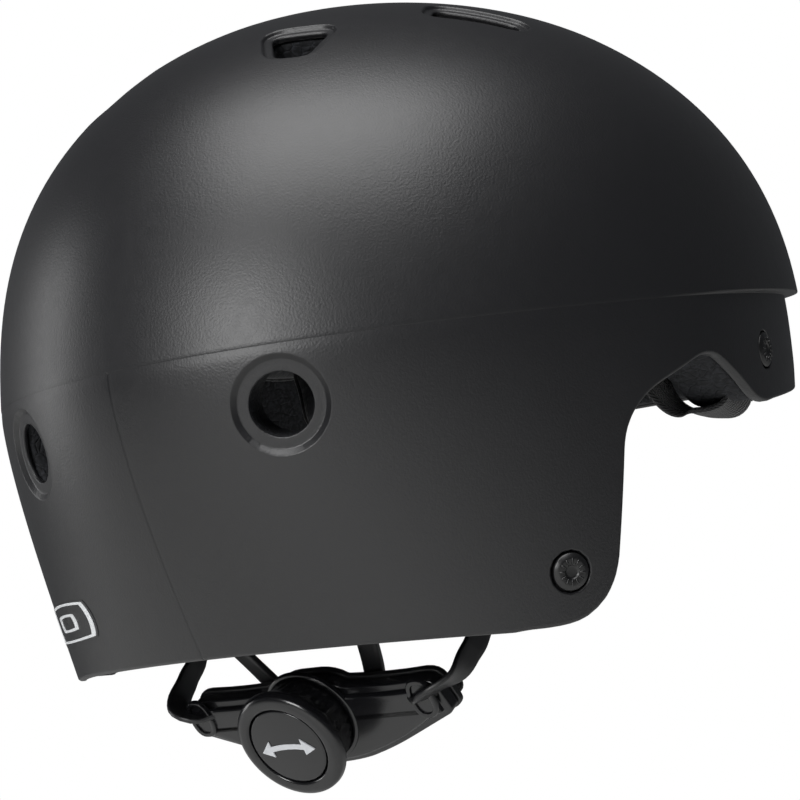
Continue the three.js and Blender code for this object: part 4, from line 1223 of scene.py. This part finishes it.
def rear_leg(side):
    at = lambda degrees, z, inset: point_at(degrees * side, z, inset)
    pocket = lambda depth: place_points([(0, 6, depth)], rivet_frame("rear", side))[0]
    path = [pocket(-6.4), pocket(-13), at(60.5, 31, 20.2), at(63, 46, 23.6), at(66.5, 62, 26.6),
            at(71, 76, 28.4), at(74, 85.5, 29)]
    up, out = unit(at(72, 80, 28) - at(61, 34, 21)), unit(at(67, 58, 0) - at(67, 58, 25))
    return path, lambda s: np.cross(up, out)


def chin_web(side, end, z):
    start = point_at(80 * side, 109, 29.6)
    path = [start, (-77 * side, 9, 115), (-70 * side, 6, 123.5), (-59 * side, 6, z + 1), (-46 * side, 6, z),
            (-end * side, 6, z)]
    return path, lambda s: (0, 1, 0)


def webbing(name, path, across, width, node, count=60):
    """A woven strap with two sewn rows across each end."""
    points, faces, uvs = strap(path, across, width, 1.6, count)
    obj = put(name, points, faces, "web", uvs=uvs, crease=70)
    centres, along, run = curve_points(path, 80)
    for tag, spot in (("low", 5.0), ("high", run[-1] - 5.0)):
        k = int(np.argmin(np.abs(run - spot)))
        side = np.asarray(across(k / 79), float)
        side = unit(side - along[k] * (side @ along[k]))
        face = np.cross(along[k], side)
        rows = []
        for sign in (1, -1):
            base = centres[k] + face * (sign * 0.85)
            rows.append(stitch_row(f"{name}_stitches_{tag}_{'in' if sign > 0 else 'out'}",
                                   [base - side * (width / 2 - 1.6), base + side * (width / 2 - 1.6)]))
        settle(join(f"{name}_stitches_{tag}", rows), "root", "web")
    settle(obj, "root", "web", node)
    return obj


class HELMET_OT_webbing(bpy.types.Operator):
    """Weaves the strap legs and the chin webbing, with the sewing at their ends"""
    bl_idname = "helmet.webbing"
    bl_label = "Build webbing"

    def execute(self, context):
        for word, side in SIDES.items():
            path, across = front_leg(side)
            webbing(f"front_leg_{word}", path, across, 16, f"strap_front_{word}", 72)
            path, across = rear_leg(side)
            webbing(f"rear_leg_{word}", path, across, 16, f"strap_rear_{word}")
        for word, side, end, z in (("right", 1, 8, 127.4), ("left", -1, 25.6, 133)):
            path, across = chin_web(side, end, z)
            webbing(f"chin_strap_{word}", path, across, 19, f"chin_web_{word}")
        return {"FINISHED"}


class HELMET_OT_buckle(bpy.types.Operator):
    """Makes the side-release buckle, the strap dividers, the keeper and the strap anchors"""
    bl_idname = "helmet.buckle"
    bl_label = "Build buckle and fittings"

    def execute(self, context):
        settle(from_cad("buckle_female", "buckle_socket", "gloss", 1.1, 3), "root", "gloss", "buckle_female")
        settle(from_cad("buckle_male", "buckle_prongs", "gloss", 0.7, 3), "buckle", "gloss", "buckle_male")
        settle(from_cad("strap_keeper", "strap_loop", "satin", 0.5, 3), "root", "satin", "strap_keeper")
        for word in SIDES:
            settle(from_cad(f"divider_{word}", f"strap_divider_{word}", "satin", 0.6, 3), "root", "satin",
                   f"divider_{word}")
            for place in RIVETS:
                node = f"anchor_{place}_{word}"
                settle(from_cad(node, f"strap_anchor_{place}_{word}", "satin", 0.3), "root", "satin", node)
            node = f"belt_anchor_{word}"
            settle(from_cad(node, f"belt_button_{word}", "satin", 0.5, 3), "root", "satin", node)
        return {"FINISHED"}


class HELMET_OT_rivets(bpy.types.Operator):
    """Turns the push rivets that hold the straps, with ribbed heads"""
    bl_idname = "helmet.rivets"
    bl_label = "Build rivets"

    def execute(self, context):
        count = context.scene.helmet_dial.ribs
        profile = rounded([(0, 2.3), (1.5, 2.3), (1.9, 2.75), (3.5, 2.85), (4.75, 2.1), (4.75, 0.9), (2.3, 0.9),
                           (2.3, -6), (0, -6)], 0.35, 3)
        for word, side in SIDES.items():
            for place in RIVETS:
                matrix = rivet_frame(place, side)
                points, faces = turned(profile, 40, matrix, close=False)
                head = put(f"rivet_{place}_{word}_head", points, faces, "rivet", crease=40)
                lift = matrix.copy()
                lift[:3, 3] = place_points([(0, 0, 2.72)], matrix)[0]
                ribs = rib_ring(f"rivet_{place}_{word}_ribs", lift, count, 2.7, (1.7, 0.5, 0.7), "rivet")
                both = join(f"push_rivet_{place}_{word}", [head, ribs])
                settle(both, "root", "satin", f"rivet_{place}_{word}")
        return {"FINISHED"}


# ---- nape cradle and dial ----------------------------------------------------------------
TILT = math.radians(34.5)
DIAL = np.eye(4)
DIAL[:3, 0], DIAL[:3, 1] = (-1, 0, 0), (0, math.sin(TILT), math.cos(TILT))
DIAL[:3, 2], DIAL[:3, 3] = (0, math.cos(TILT), -math.sin(TILT)), (0, 66, -23.3)


def wing_outline(i):
    """The bat-wing outline of the cradle in the plane of the dial, shrunk by i."""
    right = [(0, 10.2 - i), (3.5, 10.2 - i)] + bend((3.5, 10.2 - i), (8.5, 10 - i), (11.5, 7.4 - i), 8)
    right += bend((11.5, 7.4 - i), (24, 6.4 - i), (37, 7.2 - i), 8)
    right += bend((37, 7.2 - i), (41.4 - i, 7.2 - i), (42.3 - i, 4), 8) + [(43.5 - i, -2.4)]
    right += bend((43.5 - i, -2.4), (43.8 - i, -4.2 + i / 2), (41.8 - i, -5.2 + i), 6) + [(27, -11 + i)]
    right += bend((27, -11 + i), (20, -13.8 + i), (14, -15.4 + i), 6)
    right += bend((14, -15.4 + i), (9, -17 + i), (0, -17.4 + i), 8)
    right = [np.array(p, float) for p in right]
    left = [p * (-1, 1) for p in right[-2:0:-1]]
    return np.array(right + left)


def stacked(name, rings, key, crease=35):
    """A closed moulding through rings of (outline, height) in the plane of the dial."""
    points, faces, n = [], [], len(rings[0][0])
    for outline, height in rings:
        points.extend((x, y, height) for x, y in outline)
    for row in range(len(rings) - 1):
        for k in range(n):
            m = (k + 1) % n
            faces.append((row * n + k, row * n + m, (row + 1) * n + m, (row + 1) * n + k))
    faces.append(tuple(range(n)))
    faces.append(tuple((len(rings) - 1) * n + k for k in range(n)))
    return put(name, place_points(points, DIAL), faces, key, crease=crease)


def oval(x, y, half_x, half_y, count=32, power=2.6):
    a = np.linspace(0, 2 * math.pi, count, endpoint=False)
    c, s = np.cos(a), np.sin(a)
    return np.stack([x + half_x * np.sign(c) * np.abs(c) ** (2 / power),
                     y + half_y * np.sign(s) * np.abs(s) ** (2 / power)], -1)


class HELMET_OT_cradle(bpy.types.Operator):
    """Makes the bat-wing nape cradle, its arms, its side belts and its racks"""
    bl_idname = "helmet.cradle"
    bl_label = "Build nape cradle"

    def execute(self, context):
        steps = [(0.8, -19.9), (0.45, -19.6), (0.4, -16.5), (0.55, -16.05), (0.95, -15.8), (2.0, -15.68),
                 (2.25, -15.5), (2.35, -14.5), (2.6, -14.05), (3.1, -13.82), (4.2, -13.75)]
        cover = stacked("cover", [(wing_outline(i), h) for i, h in steps], "gloss", 40)
        collar = rounded([(11.5, -14.5), (14.2, -14.5), (14.0, -13.3), (13.2, -12.95), (12.4, -13.4), (11.5, -13.4)],
                         0.3, 3)
        points, faces = turned(collar, 64, DIAL)
        parts = [cover, put("collar", points, faces, "gloss", crease=40)]
        for side in SIDES.values():
            gate = []
            for grow, height in ((1.5, -14.2), (1.5, -13.3), (1.2, -12.9), (0.7, -12.8), (0.2, -13.0), (0, -13.5)):
                gate.append((oval(37.8 * side, 2.6, 2.4 + grow, 4.4 + grow), height))
            parts.append(stacked("gate", gate, "gloss", 40))
        settle(join("wing_cover", parts), "cradle", "gloss", "cradle_cover")
        settle(from_cad("cradle_plate", "wing_plate", "satin", 0.45, 3), "cradle", "satin", "cradle_plate")
        inside = lambda x, y, z: place_points([(x, y, z)], DIAL)[0]
        for word, side in SIDES.items():
            path = [inside(13 * side, -7, -23.9), inside(15.5 * side, 0, -23.9), inside(18 * side, 6, -24.2),
                    (-23.5 * side, 61, 8), (-28 * side, 72, 20), (-31.5 * side, 82.5, 31.5)]
            points, faces, _ = strap(path, lambda s, d=side: (-1, 0.12 * d, 0.25 * d), 6, 2, 40, 0.35)
            settle(put(f"cradle_arm_{word}", points, faces, "satin", crease=50), "cradle", "satin", f"arm_{word}")
            node = f"arm_plug_{word}"
            settle(from_cad(node, f"arm_button_{word}", "satin", 0.4, 3), "root", "satin", node)
            route = [inside(34.5 * side, 1.2, -17.2), inside(37.8 * side, 2.4, -14.2), inside(41.4 * side, 5.0, -12.2),
                     (-47.2 * side, 54.6, -8.4), (-49 * side, 48.6, -2.2), (-49.8 * side, 43.2, 4.2),
                     (-53.5 * side, 39.5, 16), (-60.5 * side, 33, 33), (-68 * side, 21.5, 52), (-75 * side, 6, 64.5),
                     (-77.6 * side, -8, 70.5), (-79 * side, -18.5, 74.5)]
            across = lambda s, d=side: (0.1 * d, 0.95 - 0.25 * s, -0.1 - 0.75 * s)
            points, faces, _ = strap(route, across, 7.5, 1.5, 90, 0.4)
            belt = put(f"side_belt_{word}", points, faces, "satin", crease=50)
            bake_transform(belt)
            settle(belt, None, "satin", f"belt_{word}")
            settle(from_cad(f"rack_{word}", f"rack_strip_{word}", "satin", 0), f"{word}_rack", "satin",
                   f"rack_{word}")
        return {"FINISHED"}


def arrow_mark():
    """A double-headed arrow, slightly arched, as a flat outline."""
    top = [(-5.2, 0.8), (-2.6, 0.8), (0, 0.8), (2.6, 0.8), (5.2, 0.8), (5.2, 2.5), (8.8, 0)]
    outline = top + [(x, -y) for x, y in top[::-1][1:]] + [(-5.2, -2.5), (-8.8, 0), (-5.2, 2.5)]
    return np.array([(x, y - 0.018 * x * x + 0.4) for x, y in outline])


class HELMET_OT_dial(bpy.types.Operator):
    """Turns the fit dial, its cap with printed arrows, and the works under it"""
    bl_idname = "helmet.dial"
    bl_label = "Build dial"

    def execute(self, context):
        grips = context.scene.helmet_dial.grips
        profile = rounded([(10.4, -10.4), (10.4, -13.2), (12.6, -13.2), (13.5, -8.2), (14.8, -5.2), (16.1, -2.9),
                           (15.7, -0.9), (14.3, 0.0), (12.3, -0.05), (11.75, -0.5), (11.75, -1.7), (4.4, -1.7),
                           (4.4, -6.1), (2.9, -6.1), (2.9, -13.2), (4.9, -13.2), (4.9, -10.4)], 0.75, 4)
        sides = grips * 6
        points, faces = turned(profile, sides, np.eye(4))
        radius, turn = np.hypot(points[:, 0], points[:, 1]), np.arctan2(points[:, 1], points[:, 0])
        fade = smooth(-points[:, 2], 4.0, 6.0) * (radius > 11.9)
        cut = 0.35 * fade * (0.5 - 0.5 * np.cos(grips * turn))
        points[:, :2] *= (1 - cut / np.maximum(radius, 1))[:, None]
        knob = put("knob", place_points(points, DIAL), faces, "gloss", crease=55)
        settle(knob, "dial", "gloss", "dial_knob")
        face = rounded([(0, -1.4), (11.4, -1.4), (11.4, -0.62), (10.9, -0.36), (0, 0.02)], 0.3, 3)
        points, faces = turned(face, 72, DIAL, close=False)
        cap = put("cap", points, faces, "gloss", crease=50)
        outline = arrow_mark()
        n = len(outline)
        low = [(x, y, -0.5) for x, y in outline]
        high = [(x, y, 0.1) for x, y in outline]
        sidesf = [(k, (k + 1) % n, n + (k + 1) % n, n + k) for k in range(n)]
        mark = put("mark", place_points(low + high, DIAL), sidesf + [tuple(range(n)), tuple(range(n, 2 * n))],
                   "mark", crease=30)
        settle(join("dial_badge", [cap, mark]), "dial", "gloss", "dial_cap")
        for node, name, body, key in (("dial_screw", "centre_screw", "dial", "steel"),
                                      ("pinion", "pinion_gear", "dial", "satin"),
                                      ("pawl_ring", "pawl_wheel", "dial", "satin"),
                                      ("detent_ring", "detent_wheel", "cradle", "satin")):
            settle(from_cad(node, name, key, 0), body, "screw" if key == "steel" else "satin", node)
        return {"FINISHED"}


class HELMET_OT_label(bpy.types.Operator):
    """Applies the blank label with its white outline to the back of the shell"""
    bl_idname = "helmet.label"
    bl_label = "Build label"

    def execute(self, context):
        place = (-37, 0.2, 13, 0.075)

        def film(name, outer, inner, lift, key):
            rings = []
            for shrink, depth in ((outer, 0.05), (outer, lift), (inner, lift), (inner, 0.05)):
                loop = []
                for s in np.linspace(0, 4, 96, endpoint=False):
                    side, f = int(s), s - int(s)
                    p, q = ((2 * f - 1, -1), (1, 2 * f - 1), (1 - 2 * f, 1), (-1, 1 - 2 * f))[side]
                    u, v = p * math.sqrt(1 - 0.2 * q * q), q * math.sqrt(1 - 0.2 * p * p)
                    t, l = math.radians(place[0] + u * place[2] * shrink), place[1] + v * place[3] * shrink
                    loop.append(level_point(t, l, float(shell_outer(t, np.array(l))) - depth))
                rings.append(loop)
            points = np.array([p for ring in rings for p in ring])
            n = 96
            faces = [(r * n + k, r * n + (k + 1) % n, ((r + 1) % 4) * n + (k + 1) % n, ((r + 1) % 4) * n + k)
                     for r in range(4) for k in range(n)]
            return put(name, points, faces, key, crease=40)

        parts = [film("base", 1.0, 0.02, 0.16, "shell"), film("line", 0.93, 0.82, 0.24, "label"),
                 film("bar", 0.42, 0.3, 0.24, "label")]
        settle(join("rear_label", parts), "root", "mark", "badge")
        return {"FINISHED"}


# ---- camera, light and floor -------------------------------------------------------------
def area(name, spot, aim, width, height, power, tint="#ffffff"):
    light = bpy.data.lights.new(name, "AREA")
    light.shape, light.size, light.size_y, light.energy = "RECTANGLE", width, height, power
    light.color = linear(tint)[:3]
    obj = bpy.data.objects.new(name, light)
    obj.location = spot
    obj.rotation_euler = (Vector(aim) - Vector(spot)).to_track_quat("-Z", "Y").to_euler()
    bpy.context.scene.collection.objects.link(obj)
    return obj


class HELMET_OT_camera(bpy.types.Operator):
    """Places the camera below and behind the wearer's right shoulder"""
    bl_idname = "helmet.camera"
    bl_label = "Place camera"

    def execute(self, context):
        lens = bpy.data.cameras.new("camera")
        lens.lens, lens.sensor_width = context.scene.helmet_stage.lens, 36.0
        lens.clip_start, lens.clip_end = 0.02, 50.0
        obj = bpy.data.objects.new("camera", lens)
        right, up, ahead = (-0.80154, -0.59293, -0.07728), (-0.15606, 0.08268, 0.98428), (0.57722, -0.80100, 0.15880)
        turn = Matrix((right, up, [-v for v in ahead])).transposed().to_4x4()
        obj.matrix_world = Matrix.Translation((-0.36264, 0.50651, -0.02494)) @ turn
        context.scene.collection.objects.link(obj)
        context.scene.camera = obj
        return {"FINISHED"}


class HELMET_OT_stage(bpy.types.Operator):
    """Lays the paper floor and sets the soft studio light"""
    bl_idname = "helmet.stage"
    bl_label = "Build stage"

    def execute(self, context):
        settings = context.scene.helmet_stage
        scene = context.scene
        scene.view_settings.view_transform = "Standard"
        paper, tree = start_material("matt white paper")
        place = add(tree, "ShaderNodeTexCoord").outputs["Object"]
        fibre = add(tree, "ShaderNodeTexNoise", {"Vector": place, "Scale": per_mm(4), "Detail": 4.0})
        bump = add(tree, "ShaderNodeBump", {"Strength": 0.05, "Distance": 0.0005, "Height": fibre.outputs["Fac"]})
        finish_material(paper, add(tree, "ShaderNodeBsdfPrincipled", {
            "Base Color": tuple(settings.floor_tint), "Roughness": 0.95, "Normal": bump.outputs["Normal"]}))
        MATERIALS["paper"] = paper
        drop = -settings.floor / MM
        a = np.linspace(0, 2 * math.pi, 96, endpoint=False)
        ring = np.stack([6000 * np.cos(a), 6000 * np.sin(a), np.full(96, drop)], -1)
        put("floor", ring, [range(96)], "paper")

        world = bpy.data.worlds.new("studio")
        scene.world = world
        world.use_nodes = True
        world.node_tree.nodes.clear()
        tree = world.node_tree
        seen = add(tree, "ShaderNodeBackground", {"Color": (1, 1, 1, 1), "Strength": 1.0})
        unseen = add(tree, "ShaderNodeBackground", {"Color": linear("#e8ecf2"), "Strength": 0.10})
        path = add(tree, "ShaderNodeLightPath")
        mixed = add(tree, "ShaderNodeMixShader", {0: path.outputs["Is Camera Ray"], 1: unseen.outputs[0],
                                                  2: seen.outputs[0]})
        add(tree, "ShaderNodeOutputWorld", {"Surface": mixed.outputs[0]})

        area("overhead softbox", (-0.30, 0.62, 1.30), (0, 0.02, 0.1), 1.3, 1.1, 24)
        area("rear softbox", (-0.22, 1.55, 0.36), (0, 0.05, 0.06), 0.62, 0.4, 13)
        area("side strip", (1.5, 0.5, 0.3), (0, 0, 0.08), 0.3, 1.1, 5)
        return {"FINISHED"}


# ---- panel and run -----------------------------------------------------------------------
class HELMET_PT_panel(bpy.types.Panel):
    """Builds the helmet piece by piece"""
    bl_idname = "HELMET_PT_panel"
    bl_label = "Water Helmet"
    bl_space_type = "VIEW_3D"
    bl_region_type = "UI"
    bl_category = "Helmet"

    def draw(self, context):
        layout = self.layout
        for operator in OPERATORS:
            layout.operator(operator.bl_idname)
        for name in SETTINGS:
            box = layout.box()
            settings = getattr(context.scene, name)
            for key in settings.__annotations__:
                box.prop(settings, key)


SETTINGS = {"helmet_shell": HelmetShellSettings, "helmet_soft": HelmetSoftSettings,
            "helmet_dial": HelmetDialSettings, "helmet_stage": HelmetStageSettings}
OPERATORS = (HELMET_OT_camera, HELMET_OT_stage, HELMET_OT_shell, HELMET_OT_liner, HELMET_OT_pads, HELMET_OT_webbing,
             HELMET_OT_buckle, HELMET_OT_rivets, HELMET_OT_cradle, HELMET_OT_dial, HELMET_OT_label)


def register():
    for group in SETTINGS.values():
        bpy.utils.register_class(group)
    for name, group in SETTINGS.items():
        setattr(bpy.types.Scene, name, bpy.props.PointerProperty(type=group))
    for cls in OPERATORS + (HELMET_PT_panel,):
        bpy.utils.register_class(cls)


def unregister():
    for cls in reversed(OPERATORS + (HELMET_PT_panel,)):
        bpy.utils.unregister_class(cls)
    for name, group in reversed(SETTINGS.items()):
        delattr(bpy.types.Scene, name)
        bpy.utils.unregister_class(group)


def main():
    register()
    for operator in OPERATORS:
        group, action = operator.bl_idname.split(".")
        getattr(getattr(bpy.ops, group), action)()


if __name__ == "__main__":
    main()
